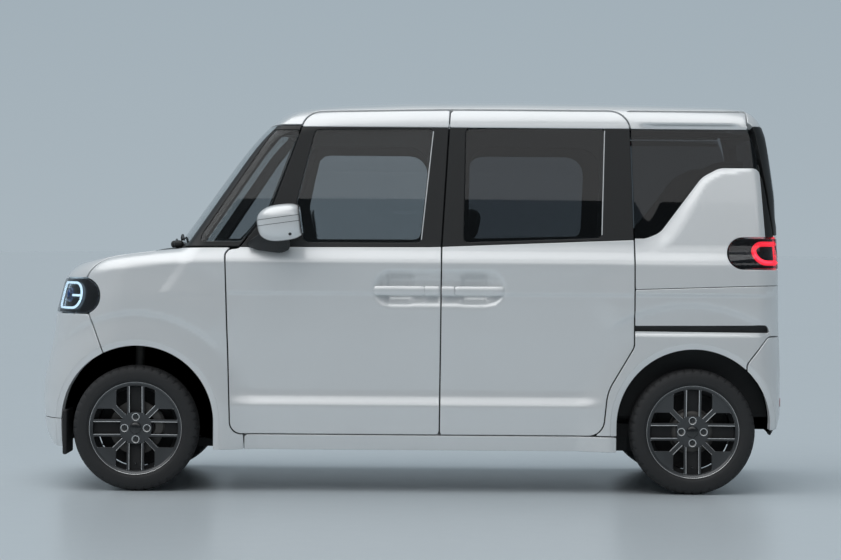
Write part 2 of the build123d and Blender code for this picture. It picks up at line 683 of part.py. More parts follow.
def floor_pan():
    """The floor, stepped up over the tank and again under the load space, clear of the rear wheels."""
    levels = (
        # from x, to x, top z, z of the riser's foot at its front edge
        (WALL_X + WALL_T + SEAT_GAP, STEP_X, FLOOR_Z, FLOOR_Z),
        (STEP_X, BOOT_X, STEP_Z, FLOOR_Z),
        (BOOT_X, X_REAR - 75, BOOT_Z, STEP_Z),
    )
    pan = None
    for x0, x1, z, foot in levels:
        slab = block(x0, x1, -HALF_W, HALF_W, z - FLOOR_T, z) + block(x0, x0 + FLOOR_T, -HALF_W, HALF_W, foot - FLOOR_T, z)
        pan = slab if pan is None else pan + slab
    pan &= body(FRAME_T + SEAT_GAP)
    wells = arch(REAR_AXLE_X, ARCH_R + 20, WHEEL_Y - 115, FAR)
    feet = block(DOOR_HINGE_X - 105, DOOR_HINGE_X + 65, -FAR, -(DOOR_HINGE_Y - 130), 0, HEIGHT)
    cuts = wells + feet
    return pan - cuts - right_of(cuts) - gate_region(DOOR_GAP)


def arch_liner(axle_x, y_in, trim):
    """A plastic arch liner on the left, open to the wheel."""
    outer, inner = arch(axle_x, ARCH_R + 16, y_in, HALF_W), arch(axle_x, ARCH_R + 9, y_in - 1, HALF_W + 1)
    liner = ((outer - inner) & body(trim)) & block(-FAR, FAR, -HALF_W, 0, HUB_Z - 40, HEIGHT)
    return liner - along_steering(HUB_Z + 200, STRUT_TOP_Z, 40)


def wheel_house_left():
    """The closed cup over a rear wheel."""
    cup = arch_liner(REAR_AXLE_X, WHEEL_Y - 112, FRAME_T + SEAT_GAP)
    wall = arch(REAR_AXLE_X, ARCH_R + 16, WHEEL_Y - 112, WHEEL_Y - 104) & block(-FAR, FAR, -HALF_W, 0, HUB_Z + 60, HEIGHT)
    return cup + wall


# Running gear

BALL_Y, BALL_Z = WHEEL_Y - 60.0, 195.0
STRUT_TOP_Y, STRUT_TOP_Z = WHEEL_Y - 180.0, 850.0
APRON_Y = WHEEL_Y - 278.0
WELL_Y = WHEEL_Y - 255.0
SUBFRAME_Z = FLOOR_Z - FLOOR_T - SEAT_GAP
SPINDLE_R = HUB_BORE_R - PIN_CLEAR


def steering_line(z):
    """How far out the steering axis is at a height."""
    return BALL_Y + (STRUT_TOP_Y - BALL_Y) * (z - BALL_Z) / (STRUT_TOP_Z - BALL_Z)


def along_steering(z0, z1, r):
    """A cylinder on the left steering axis, between two heights."""
    a, b = Vector(FRONT_AXLE_X, -steering_line(z0), z0), Vector(FRONT_AXLE_X, -steering_line(z1), z1)
    return extrude(Plane(origin=a, z_dir=b - a) * Circle(r), (b - a).length)


def knuckle_left():
    """A steering knuckle with its strut, its ball pin and the spindle that carries the wheel."""
    upright = block(FRONT_AXLE_X - 28, FRONT_AXLE_X + 28, -(BALL_Y + 6), -(BALL_Y - 40), BALL_Z + 25, HUB_Z + 130)
    spindle = cross_cylinder(FRONT_AXLE_X, -(BALL_Y - 10), -(WHEEL_Y + 42), HUB_Z, SPINDLE_R)
    tube = along_steering(HUB_Z + 60, STRUT_TOP_Z - 120, 22)
    rod = along_steering(BALL_Z - 12, STRUT_TOP_Z + 20, 9)
    return upright + spindle + tube + rod


def front_apron_left():
    """The inner wing of the engine bay, with the tower that takes the strut's top."""
    wall = block(X_FRONT + 150, WALL_X - SEAT_GAP, -APRON_Y, -(APRON_Y - 22), 420, 900)
    tower = block(FRONT_AXLE_X - 90, FRONT_AXLE_X + 90, -(STRUT_TOP_Y + 60), -APRON_Y, STRUT_TOP_Z - 15, STRUT_TOP_Z + 10)
    return wall + tower - along_steering(STRUT_TOP_Z - 40, STRUT_TOP_Z + 40, 9 + PIN_CLEAR)


def front_subframe():
    """The subframe under the engine, with the lower arms that hold the knuckles' ball pins."""
    out = APRON_Y - 22
    rails = block(FRONT_AXLE_X - 190, WALL_X + 80, -out, -(out - 100), SUBFRAME_Z - 38, SUBFRAME_Z)
    arm = block(FRONT_AXLE_X - 30, FRONT_AXLE_X + 30, -(BALL_Y + 24), -(out - 10), BALL_Z - 10, BALL_Z + 10)
    arm += block(FRONT_AXLE_X + 20, FRONT_AXLE_X + 190, -(out + 50), -(out - 10), BALL_Z - 10, BALL_Z + 10)
    left = rails + arm - along_steering(BALL_Z - 30, BALL_Z + 30, 9 + PIN_CLEAR)
    cross = block(FRONT_AXLE_X - 190, FRONT_AXLE_X - 120, 90 - out, out - 90, SUBFRAME_Z - 38, SUBFRAME_Z)
    return left + right_of(left) + cross


def engine():
    """Engine and gearbox, as one plain block."""
    return block(FRONT_AXLE_X - 240, FRONT_AXLE_X + 150, -(APRON_Y - 37), APRON_Y - 37, SUBFRAME_Z + SEAT_GAP, 790)


def rear_axle_beam():
    """The rear torsion beam, its trailing arms and the wheel spindles."""
    arm_y = WHEEL_Y - 150
    arm = block(ARM_X - 5, REAR_AXLE_X + 40, -(arm_y + 28), -(arm_y - 28), HUB_Z - 35, HUB_Z + 25)
    bush = block(ARM_X - 55, ARM_X - 5, -(arm_y + 28), -(arm_y - 28), HUB_Z - 35, STEP_Z - FLOOR_T - SEAT_GAP)
    spindle = cross_cylinder(REAR_AXLE_X, -(arm_y - 10), -(WHEEL_Y + 42), HUB_Z, SPINDLE_R)
    spring = upright_cylinder(REAR_AXLE_X, -arm_y, HUB_Z, BOOT_Z - FLOOR_T - SEAT_GAP, 24)
    left = arm + bush + spindle + spring
    beam = cross_cylinder(REAR_AXLE_X - 140, -arm_y, arm_y, HUB_Z - 5, 28)
    return left + right_of(left) + beam


def fuel_tank():
    """The fuel tank under the rear seat."""
    half = WHEEL_Y - 250
    tank = block(STEP_X + FLOOR_T + 15, BOOT_X - 70, -half, half, 172, STEP_Z - FLOOR_T - SEAT_GAP)
    return fillet(tank.edges().filter_by(Axis.Z), 40)


def exhaust():
    """The exhaust: a pipe from the engine along the floor to the silencer behind the axle."""
    y, z = WHEEL_Y - 190, HUB_Z - 96
    start_x, end_x = FRONT_AXLE_X + 100, X_REAR - 290
    points = [
        (start_x, 150, SUBFRAME_Z + SEAT_GAP),
        (start_x, 150, z),
        (start_x + 330, 150, z),
        (start_x + 640, y, z),
        (end_x, y, z),
    ]
    path = FilletPolyline(*points, radius=26)
    pipe = sweep(Plane(origin=path @ 0, z_dir=path % 0) * Circle(19), path=path)
    box = block(end_x, X_REAR - 110, y - 330, y + 60, z - 22, z + 105)
    box = fillet(box.edges().filter_by(Axis.X), 45)
    hangers = upright_cylinder(end_x + 40, y - 160, z + 60, BOOT_Z - FLOOR_T - SEAT_GAP, 6)
    return pipe + box + hangers


# Wheels, drawn about the Y axis at the origin and then set on their hubs


def turned(points):
    """A ring turned about Y from an outline of (y, radius) corners."""
    outline = make_face(Polyline(*[(r, y) for y, r in points], close=True))
    return revolve(outline, Axis.Y)


def tyre():
    """A tyre, seated between the rim's flanges."""
    seat, flange, r, w = RIM_D / 2 + SEAT_GAP, RIM_D / 2 + FLANGE_H, TYRE_D / 2, TYRE_W / 2
    bead = RIM_W / 2 - 8.5
    half = [(bead, seat), (bead, flange + 1.5), (bead + 10, flange + 4), (w - 4, flange + 16), (w, flange + 32)]
    half += [(w - 4, r - 26), (w - 14, r - 8), (w - 26, r)]
    return turned(half + [(-y, radius) for y, radius in reversed(half)])


def rim():
    """A rim: barrel, hub with its bore and lug holes, and four pairs of spokes."""
    half_w, seat, flange = RIM_W / 2, RIM_D / 2, RIM_D / 2 + FLANGE_H
    barrel = turned([
        (-half_w, seat - 8), (-half_w, flange), (-half_w + 8, flange), (-half_w + 8, seat),
        (half_w - 8, seat), (half_w - 8, flange), (half_w, flange), (half_w, seat - 8),
    ])
    face_y = -half_w + 14
    disc = turned([(face_y, 0), (face_y - 6, 40), (face_y - 8, seat - 6), (face_y + 14, seat - 6), (face_y + 20, 0)])
    hub = turned([(face_y, 0), (face_y, 68), (face_y + 40, 68), (face_y + 40, 0)])
    for k in range(LUG_COUNT):
        turn = Rot(0, 90 * k, 0)
        for side in (-1, 1):
            disc -= turn * (Pos(side * 44, 0, 128) * Box(36, 3 * RIM_W, 90))
        disc -= turn * (Pos(0, 0, 128) * Box(30, 3 * RIM_W, 90))
    wheel = barrel + disc + hub
    wheel -= cross_cylinder(0, -half_w - 30, half_w + 30, 0, HUB_BORE_R)
    for k in range(LUG_COUNT):
        wheel -= Rot(0, 90 * k, 0) * cross_cylinder(LUG_CIRCLE / 2, -half_w - 30, half_w + 30, 0, 6)
    return wheel


def at_wheel(shape, axle_x, side):
    """A wheel's piece set on its hub, its face outwards; side is -1 on the left and 1 on the right."""
    turned_out = shape if side < 0 else Rot(0, 0, 180) * shape
    return Pos(axle_x, side * WHEEL_Y, HUB_Z) * turned_out


# Cabin

SEAT_HALF = HALF_W - FRAME_T - 95.0
SEAT_W = SEAT_HALF - 20.0


def seat(x, base_z, depth, back_z, y_in, y_out, foot_z):
    """A seat on the left: base, cushion, leaning back and headrest, as one plain form."""
    outline = [
        (x, foot_z, 0), (x + depth - 40, foot_z, 0), (x + depth + 60, base_z, 20), (x + depth + 190, back_z, 40),
        (x + depth + 70, back_z, 40), (x + depth - 70, base_z, 60), (x - 10, base_z + 15, 40),
    ]
    body_of_seat = side_prism(outline, y_in, y_out)
    middle = (y_in + y_out) / 2
    rest = side_prism(
        [(x + depth + 95, back_z - 10, 0), (x + depth + 195, back_z - 10, 0), (x + depth + 225, back_z + 165, 40),
         (x + depth + 120, back_z + 165, 40)],
        middle - 125, middle + 125,
    )
    return body_of_seat + rest


def front_seats():
    """The two front seats, on the floor."""
    return both(seat(DOOR_X + 475, 590, 470, 1130, 20, 20 + SEAT_W, FLOOR_Z + SEAT_GAP))


def rear_seats():
    """The split rear seat, on the raised floor."""
    return both(seat(STEP_X + 60, 620, 440, 1100, 6, 6 + SEAT_W - 30, STEP_Z + SEAT_GAP))


def dashboard():
    """The dashboard, on the bulkhead."""
    x = WALL_X + WALL_T + SEAT_GAP
    outline = [
        (x, 640, 0), (x + 120, 640, 30), (x + 250, 780, 60), (x + 300, 940, 50), (x + 230, 1040, 60), (x, 1060, 0),
    ]
    half = DOOR_HINGE_Y - 130
    return across(outline) & block(-FAR, FAR, -half, half, 0, HEIGHT)


STEER_Y = HALF_W - 392.5
STEER_TILT = 62.0


def steering_wheel():
    """The steering wheel on its column, on the car's right."""
    hub = Vector(WALL_X + 430, STEER_Y, 985)
    plane = Plane(origin=hub, x_dir=(0, 1, 0), z_dir=(sin(radians(STEER_TILT)), 0, cos(radians(STEER_TILT))))
    ring = plane * Torus(180, 15)
    boss = plane * Pos(0, 0, -22) * Cylinder(62, 44)
    spokes = plane * Pos(0, 0, -12) * Box(350, 40, 18) + plane * Pos(0, -85, -12) * Box(40, 170, 18)
    column = plane * Pos(0, 0, -150) * Cylinder(26, 300)
    return (ring + boss + spokes + column) - Pos(SEAT_GAP, 0, 0) * dashboard()


def door_mirror_left():
    """A door mirror: foot on the door's front corner and rounded housing."""
    x, z = DOOR_X + 257, 1203.0
    shell = [(x - 106, z - 78, 30), (x + 100, z - 80, 45), (x + 106, z + 60, 40), (x + 70, z + 82, 45), (x - 90, z + 58, 60)]
    housing = side_prism(shell, HALF_W + 12, HALF_W + 185)
    foot = side_prism(
        [(x - 160, BELT_Z - 30, 8), (x + 10, BELT_Z - 40, 12), (x + 40, BELT_Z + 30, 12), (x - 100, BELT_Z + 30, 12)],
        HALF_W - 30, HALF_W + 90,
    )
    return (housing + foot) - body(-SEAT_GAP)


NODES = {
    "hood": hood,
    "front_fenders": lambda: both(front_fender_left()),
    "front_bumper": front_bumper,
    "headlamps": lambda: both(headlamp_left()),
    "front_grille": front_grille,
    "cowl_bulkhead": cowl_bulkhead,
    "windshield": windshield,
    "roof_panel": roof_panel,
    "body_side_left": body_side_left,
    "body_side_right": lambda: right_of(body_side_left()),
    "quarter_glass": lambda: both(Compound([*pane(FRONT_QUARTER).solids(), *pane(QUARTER_WINDOW).solids()])),
    "front_door_left": front_door_left,
    "front_door_right": lambda: right_of(front_door_left()),
    "front_door_glass_left": lambda: pane(FRONT_WINDOW),
    "front_door_glass_right": lambda: right_of(pane(FRONT_WINDOW)),
    "sliding_door_left": sliding_door_left,
    "sliding_door_right": lambda: right_of(sliding_door_left()),
    "sliding_door_glass": lambda: both(pane(REAR_WINDOW)),
    "door_mirror_left": door_mirror_left,
    "door_mirror_right": lambda: right_of(door_mirror_left()),
    "tailgate": tailgate,
    "tailgate_glass": tailgate_glass,
    "rear_bumper": rear_bumper,
    "tail_lamps": lambda: both(tail_lamp_left()),
    "floor_pan": floor_pan,
    "front_arch_liners": lambda: both(arch_liner(FRONT_AXLE_X, WELL_Y + 10, PANEL_T + SEAT_GAP)),
    "rear_wheel_houses": lambda: both(wheel_house_left()),
    "front_aprons": lambda: both(front_apron_left()),
    "knuckle_left": knuckle_left,
    "knuckle_right": lambda: right_of(knuckle_left()),
    "front_subframe": front_subframe,
    "engine": engine,
    "rear_axle_beam": rear_axle_beam,
    "fuel_tank": fuel_tank,
    "exhaust": exhaust,
    "front_seats": front_seats,
    "rear_seats": rear_seats,
    "dashboard": dashboard,
    "steering_wheel": steering_wheel,
}
WHEELS = {
    # name: axle, side
    "front_left": (FRONT_AXLE_X, -1),
    "front_right": (FRONT_AXLE_X, 1),
    "rear_left": (REAR_AXLE_X, -1),
    "rear_right": (REAR_AXLE_X, 1),
}


def main():
    """Builds every node and writes it to parts."""
    os.makedirs("parts", exist_ok=True)
    for name, make in NODES.items():
        export_step(Compound(make().solids()), f"parts/{name}.step")
    for name, (axle_x, side) in WHEELS.items():
        export_step(Compound(at_wheel(tyre(), axle_x, side).solids()), f"parts/tyre_{name}.step")
        export_step(Compound(at_wheel(rim(), axle_x, side).solids()), f"parts/rim_{name}.step")


main()
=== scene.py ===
"""The looks of a small tall wagon, dressed over its CAD frame."""

import json
import logging
import math
from collections.abc import Callable, Sequence
from dataclasses import dataclass, replace
from enum import Enum

import bmesh
import bpy
import numpy as np
from mathutils import Matrix, Vector


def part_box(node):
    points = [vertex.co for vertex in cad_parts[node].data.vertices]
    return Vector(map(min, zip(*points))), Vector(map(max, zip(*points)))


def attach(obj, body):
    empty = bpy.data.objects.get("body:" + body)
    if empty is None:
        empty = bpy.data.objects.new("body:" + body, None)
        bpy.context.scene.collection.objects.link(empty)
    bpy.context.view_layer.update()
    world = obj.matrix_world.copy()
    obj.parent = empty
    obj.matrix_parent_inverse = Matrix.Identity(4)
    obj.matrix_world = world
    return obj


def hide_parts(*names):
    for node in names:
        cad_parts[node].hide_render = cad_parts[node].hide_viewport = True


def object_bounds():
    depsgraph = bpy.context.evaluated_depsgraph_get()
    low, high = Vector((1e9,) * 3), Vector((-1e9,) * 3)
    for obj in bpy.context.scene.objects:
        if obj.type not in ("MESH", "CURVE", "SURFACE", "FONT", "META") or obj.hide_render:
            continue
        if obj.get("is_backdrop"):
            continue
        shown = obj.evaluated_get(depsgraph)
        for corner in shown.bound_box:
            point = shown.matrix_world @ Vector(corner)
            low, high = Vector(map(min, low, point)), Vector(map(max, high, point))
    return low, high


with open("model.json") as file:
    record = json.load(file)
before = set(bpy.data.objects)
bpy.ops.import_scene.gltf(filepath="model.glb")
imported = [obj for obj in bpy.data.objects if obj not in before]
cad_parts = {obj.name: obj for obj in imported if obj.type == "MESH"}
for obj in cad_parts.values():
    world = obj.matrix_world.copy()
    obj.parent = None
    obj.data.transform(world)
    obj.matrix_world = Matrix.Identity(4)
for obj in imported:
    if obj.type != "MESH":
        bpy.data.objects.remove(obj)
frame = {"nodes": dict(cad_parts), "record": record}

LOG = logging.getLogger("car")
Array = np.ndarray
Field = Callable[[Array], Array]
Knots = Sequence[tuple[float, float]]
Corner = tuple[float, float, float]


class Side(Enum):
    """The two sides of the car, as the sign of Y."""

    LEFT = -1
    RIGHT = 1

    @property
    def word(self) -> str:
        """The side's name as the frame writes it."""
        return self.name.lower()


# Numbers and curves


def round_max(a: Array, b: Array, radius: float) -> Array:
    """The level of what both levels keep, with a rounded edge."""
    bulge = np.hypot(np.maximum(a + radius, 0), np.maximum(b + radius, 0))
    return np.minimum(np.maximum(a, b), -radius) + bulge


def round_min(a: Array, b: Array, radius: float) -> Array:
    """The level of what either keeps, with a rounded hollow."""
    return -round_max(-a, -b, radius)


def ease(low: float, high: float, t: Array) -> Array:
    """A smooth step from 0 at low to 1 at high."""
    s = np.clip((t - low) / (high - low), 0, 1)
    return s * s * (3 - 2 * s)


class Profile:
    """A smooth curve through a few knots."""

    def __init__(self, knots: Knots, soft: float = 0.012) -> None:
        """Samples the curve.

        Args:
            knots: The points that the curve follows.
            soft: How far a bend is spread, in metres.
        """
        at, value = np.array(knots, float).T
        step = 0.0005
        reach = int(3 * soft / step)
        self.at = np.arange(at[0], at[-1] + step, step)
        raw = np.interp(self.at, at, value)
        first = raw[0] + (raw[1] - raw[0]) * np.arange(-reach, 0)
        last = raw[-1] + (raw[-1] - raw[-2]) * np.arange(1, reach + 1)
        bell = np.exp(-0.5 * (np.arange(-reach, reach + 1) * step / soft) ** 2)
        self.value = np.convolve(np.concatenate([first, raw, last]), bell / bell.sum(), "valid")
        self.slope = np.gradient(self.value, step)

    def __call__(self, t: Array) -> Array:
        """The curve's value at t."""
        return np.interp(t, self.at, self.value)

    def steep(self, t: Array) -> Array:
        """The curve's slope at t."""
        return np.interp(t, self.at, self.slope)


class Outline:
    """A closed outline with rounded corners, seen along one axis."""

    def __init__(self, corners: Sequence[Corner], axes: tuple[int, int] = (0, 2)) -> None:
        """Rounds the corners.

        Args:
            corners: Place and radius of each corner, in order.
            axes: The two coordinates that the outline is drawn in.
        """
        self.axes = axes
        self.loop = self.rounded(corners)

    @staticmethod
    def rounded(corners: Sequence[Corner]) -> Array:
        """The outline as a fine polygon.

        Args:
            corners: Place and radius of each corner, in order.

        Returns:
            The polygon's points.
        """
        points: list[Array] = []
        spots = np.array([c[:2] for c in corners], float)
        for i, corner in enumerate(corners):
            here, radius = spots[i], corner[2]
            back = spots[i - 1] - here
            ahead = spots[(i + 1) % len(spots)] - here
            back_len, ahead_len = np.linalg.norm(back), np.linalg.norm(ahead)
            back, ahead = back / back_len, ahead / ahead_len
            half = math.acos(float(np.clip(back @ ahead, -1, 1))) / 2
            run = min(radius / max(math.tan(half), 1e-6), 0.49 * back_len, 0.49 * ahead_len)
            if run < 1e-5:
                points.append(here)
                continue
            middle = (back + ahead) / np.linalg.norm(back + ahead)
            centre = here + middle * run / math.cos(half)
            start, stop = here + back * run - centre, here + ahead * run - centre
            for s in np.linspace(0, 1, 12):
                ray = start * math.cos(s * math.pi / 2) + stop * math.sin(s * math.pi / 2)
                points.append(centre + ray / np.linalg.norm(ray) * np.linalg.norm(start))
        return np.array(points)

    def distance(self, p: Array) -> Array:
        """How far points lie outside the outline, negative inside.

        Args:
            p: Points in space, any number of them.

        Returns:
            The signed distances in the outline's plane.
        """
        q = p[:, list(self.axes)]
        best = np.full(len(q), 1e9)
        inside = np.zeros(len(q), bool)
        for a, b in zip(self.loop, np.roll(self.loop, -1, axis=0)):
            edge = b - a
            w = q - a
            t = np.clip(w @ edge / max(edge @ edge, 1e-12), 0, 1)
            best = np.minimum(best, ((w - t[:, None] * edge) ** 2).sum(1))
            crosses = (a[1] > q[:, 1]) != (b[1] > q[:, 1])
            rise = edge[1] if abs(edge[1]) > 1e-12 else 1e-12
            inside ^= crosses & (q[:, 0] < a[0] + (q[:, 1] - a[1]) * edge[0] / rise)
        return np.where(inside, -1, 1) * np.sqrt(best)

    def within(self, gap: float = 0.0) -> Field:
        """A field that keeps what lies inside, short of the outline by gap."""
        return lambda p: self.distance(p) + gap

    def beyond(self, gap: float = 0.0) -> Field:
        """A field that keeps what lies outside, clear of the outline by gap."""
        return lambda p: gap - self.distance(p)


def under(top: Profile | float, gap: float = 0.0) -> Field:
    """A field that keeps what lies below a height or a line along X."""
    return lambda p: p[:, 2] - (top(p[:, 0]) if callable(top) else top) + gap


def over(base: Profile | float, gap: float = 0.0) -> Field:
    """A field that keeps what lies above a height or a line along X."""
    return lambda p: (base(p[:, 0]) if callable(base) else base) - p[:, 2] + gap


def ahead(limit: float, gap: float = 0.0) -> Field:
    """A field that keeps what lies ahead of a place along X."""
    return lambda p: p[:, 0] - limit + gap


def behind(limit: float, gap: float = 0.0) -> Field:
    """A field that keeps what lies behind a place along X."""
    return lambda p: limit - p[:, 0] + gap


def inboard(limit: float, gap: float = 0.0) -> Field:
    """A field that keeps what lies nearer the middle than limit."""
    return lambda p: np.abs(p[:, 1]) - limit + gap


def outboard(limit: float, gap: float = 0.0) -> Field:
    """A field that keeps what lies further from the middle than limit."""
    return lambda p: limit - np.abs(p[:, 1]) + gap


def either(*fields: Field) -> Field:
    """A field that keeps what any of the fields keeps."""
    return lambda p: np.minimum.reduce([f(p) for f in fields])


def rect(low: tuple[float, float], high: tuple[float, float], radius: float = 0.0) -> tuple[Corner, ...]:
    """The corners of a rectangle, all of one radius."""
    return (*low, radius), (high[0], low[1], radius), (*high, radius), (low[0], high[1], radius)


# The body's shape


@dataclass(frozen=True)
class CarSizes:
    """The sizes that the body's pieces share, in metres."""

    x_front: float
    x_rear: float
    half_w: float
    height: float
    front_axle: float
    rear_axle: float
    hub_z: float
    arch_r: float = 0.345
    arch_z: float = 0.306
    sill_z: float = 0.188
    door_low_z: float = 0.258
    glass_top_z: float = 1.64
    roof_shut_z: float = 1.723
    hood_half: float = 0.65
    hood_rear: float = -1.145
    lamp_half: float = 0.395
    lamp_low: float = 0.793
    lamp_top: float = 0.951
    gate_half: float = 0.6375
    gate_low: float = 0.52
    bumper_top: float = 0.71
    gate_x: float = 1.51
    seam: float = 0.0026
    lip_w: float = 0.027

    @classmethod
    def from_frame(cls) -> "CarSizes":
        """Reads the main sizes off the frame."""
        low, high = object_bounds()
        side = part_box("body_side_left")[0]
        front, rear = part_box("tyre_front_left"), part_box("tyre_rear_left")
        return cls(
            x_front=low[0],
            x_rear=high[0],
            half_w=-side[1],
            height=high[2],
            front_axle=(front[0][0] + front[1][0]) / 2,
            rear_axle=(rear[0][0] + rear[1][0]) / 2,
            hub_z=(front[0][2] + front[1][2]) / 2,
        )

    @property
    def nose_axis(self) -> tuple[float, float]:
        """The upright axis that the nose is scanned from."""
        return self.x_front + 0.7, 0.0

    @property
    def tail_axis(self) -> tuple[float, float]:
        """The upright axis that the tail is scanned from."""
        return self.x_rear - 0.5, 0.0

    def arch(self, axle: float, p: Array) -> Array:
        """How far points lie outside the wheel arch of an axle, in the side view."""
        x, z = p[..., 0] - axle - 0.003, p[..., 2] - self.arch_z
        return np.where(z > 0, np.hypot(x, z), np.abs(x)) - self.arch_r

    def off_arches(self, gap: float = 0.0) -> Field:
        """A field that keeps what lies outside both wheel arches."""
        return lambda p: gap - np.minimum(self.arch(self.front_axle, p), self.arch(self.rear_axle, p))

    def near_arches(self, reach: float) -> Field:
        """A field that keeps what lies no further than reach from a wheel arch."""
        return lambda p: np.minimum(self.arch(self.front_axle, p), self.arch(self.rear_axle, p)) - reach


QUARTER_WINDOW: tuple[Corner, ...] = (
    (0.95, 1.146, 0), (1.05, 1.146, 0.1), (1.115, 1.172, 0.1), (1.305, 1.425, 0.12), (1.385, 1.467, 0.09),
    (1.566, 1.467, 0.035), (1.59, 1.1535, 0), (1.75, 1.1535, 0), (1.75, 1.64, 0), (0.95, 1.64, 0),
)


class BodyForm:
    """The smooth outer shape of the body as a level function, negative inside."""

    SECTION: Knots = (
        (0.1, -0.08), (0.188, -0.052), (0.258, -0.032), (0.3, -0.024), (0.378, -0.009),
        (0.392, -0.008), (0.428, -0.023), (0.46, -0.0255), (0.6, -0.014), (0.72, -0.004), (0.85, 0.0),
        (1.032, 0.0), (1.105, -0.024), (1.645, -0.112), (1.9, -0.1545),
    )
    NOSE: Knots = (
        (0.1, 0.08), (0.188, 0.048), (0.227, 0.024), (0.267, 0.0125), (0.304, 0.005), (0.4, 0.0),
        (0.476, 0.002), (0.603, 0.0285), (0.712, 0.05), (0.799, 0.057), (0.966, 0.1), (1.1, 0.13),
        (1.3, 0.16),
    )
    HOOD: Knots = (
        (0.0, 0.955), (0.086, 0.992), (0.166, 1.014), (0.345, 1.06), (0.575, 1.09), (0.9, 1.115),
    )
    ROOF: Knots = (
        (-1.2, -0.55), (-0.8, -0.19), (-0.6945, -0.113), (-0.62, -0.073), (-0.56, -0.05),
        (-0.45, -0.03), (-0.33, -0.019), (0.0, -0.005), (0.5, 0.0), (1.0, -0.004), (1.4275, -0.013),
        (1.52, -0.022), (1.5825, -0.037), (1.62, -0.065), (1.6355, -0.095), (1.7, -0.25),
    )
    TAIL: Knots = (
        (0.1, -0.09), (0.25, -0.04), (0.29, -0.0155), (0.349, -0.002), (0.532, -0.001), (0.7, -0.008),
        (0.725, -0.011), (1.011, -0.0155), (1.152, -0.021), (1.333, -0.028), (1.637, -0.07), (1.9, -0.115),
    )
    SHIELD_X: float = -1.11
    SHIELD_Z: float = 1.082
    SHIELD_RAKE: float = 0.72

    def __init__(self, sizes: CarSizes) -> None:
        """Draws the form's curves.

        Args:
            sizes: The shared sizes of the body.
        """
        self.sizes = sizes
        self.section = Profile(self.SECTION, 0.007)
        self.nose = Profile(self.NOSE, 0.012)
        self.hood = Profile(self.HOOD, 0.03)
        self.roof = Profile(self.ROOF, 0.03)
        self.tail = Profile(self.TAIL, 0.012)
        self.glass_edge = Outline(QUARTER_WINDOW)

    def brow(self, x: Array, z: Array, centre: tuple[float, float], radius: float, half: float) -> Array:
        """The soft ledge above a wheel arch.

        Args:
            x: Places along X.
            z: Heights.
            centre: The middle of the ledge's arc.
            radius: The arc's radius.
            half: Half the angle that the arc spans, in radians.

        Returns:
            How far the side stands out.
        """
        dx, dz = x - centre[0], z - centre[1]
        r = np.hypot(dx, dz)
        turn = np.abs(np.arctan2(dx, dz))
        rise = ease(radius - 0.03, radius + 0.002, r) * (1 - ease(radius + 0.004, radius + 0.24, r))
        return 0.013 * rise * (1 - ease(half * 0.72, half, turn))

    def flare(self, p: Array) -> Array:
        """How far the side has swung out to the width of the tyres, from 0 to 1."""
        s = self.sizes
        near = np.minimum(s.arch(s.front_axle, p), s.arch(s.rear_axle, p))
        return 1 - ease(0.02, 0.2, near)

    def relief(self, p: Array) -> Array:
        """How far ledges, lips and the handle recess move the side.

        Args:
            p: Points in space.

        Returns:
            The movement outwards, in metres.
        """
        s = self.sizes
        x, z = p[..., 0], p[..., 2]
        out = self.brow(x, z, (s.front_axle, s.hub_z), 0.53, 0.86)
        out = out + self.brow(x, z, (s.rear_axle - 0.02, 0.18), 0.68, 0.62)
        for axle in (s.front_axle, s.rear_axle):
            band = s.arch(axle, p)
            out = out - 0.007 * np.clip(1 - band / s.lip_w, 0, 1.3)
        near = (x > 0.98) & (z > 1.05) & (z < 1.66)
        gap = np.ones(x.shape)
        gap[near] = self.glass_edge.distance(p[near])
        aft = ease(1.42, 1.52, x)
        width = (0.072 - 0.036 * ease(1.15, 1.44, z)) * (1 - aft) + 0.014 * aft
        out = out - (0.012 - 0.008 * aft) * (1 - ease(0.0, 1.0, gap / width)) * ease(1.0, 1.12, x)
        ledge = ease(0.704, 0.727, z) * (1 - ease(0.738, 0.757, z))
        out = out - 0.01 * ledge * ease(0.998, 1.004, x) * (1 - ease(1.59, 1.612, x))
        scoop = np.hypot(np.maximum(np.abs(x - 0.1255) - 0.217, 0), z - 0.9165) - 0.0845
        pocket = np.minimum(np.abs(x + 0.051), np.abs(x - 0.2825))
        return out - (0.029 + 0.011 * ease(0.066, 0.044, pocket)) * ease(0.002, -0.05, scoop)

    def level(self, p: Array, fine: bool = True) -> Array:
        """The level function.

        Args:
            p: Points in space.
            fine: True to count the ledges, lips and the recess.

        Returns:
            About the distance outside the body, negative inside.
        """
        s = self.sizes
        x, y, z = p[..., 0], np.abs(p[..., 1]), p[..., 2]
        plan = np.where(x < 0, -0.016 * (x / 1.367) ** 2, -0.012 * (x / 1.537) ** 2)
        flare = self.flare(p)
        wall = s.half_w + (self.section(z) + plan) * (1 - flare) - 0.004 * flare
        side = y - (wall + (self.relief(p) if fine else 0.0))
        nose = s.x_front + self.nose(z) + y * y / 9.0 - x
        hood = z - self.hood(x - s.x_front) + 0.0237 * y * y
        shield = self.SHIELD_X + (z - self.SHIELD_Z) * self.SHIELD_RAKE + y * y / 4.8 - x
        shield = shield / math.hypot(1, self.SHIELD_RAKE)
        roof = z - (s.height + self.roof(x) - 0.1337 * y * y)
        roof = roof / np.sqrt(1 + self.roof.steep(x) ** 2)
        tail = x - (s.x_rear + self.tail(z) - y * y / 13)
        lower = round_max(round_max(side, nose, 0.28), hood, 0.07)
        cabin = np.maximum(round_max(side, shield, 0.05), 0.9 - z)
        whole = round_max(round_min(lower, cabin, 0.02), roof, 0.08)
        return round_max(whole, tail, 0.1)

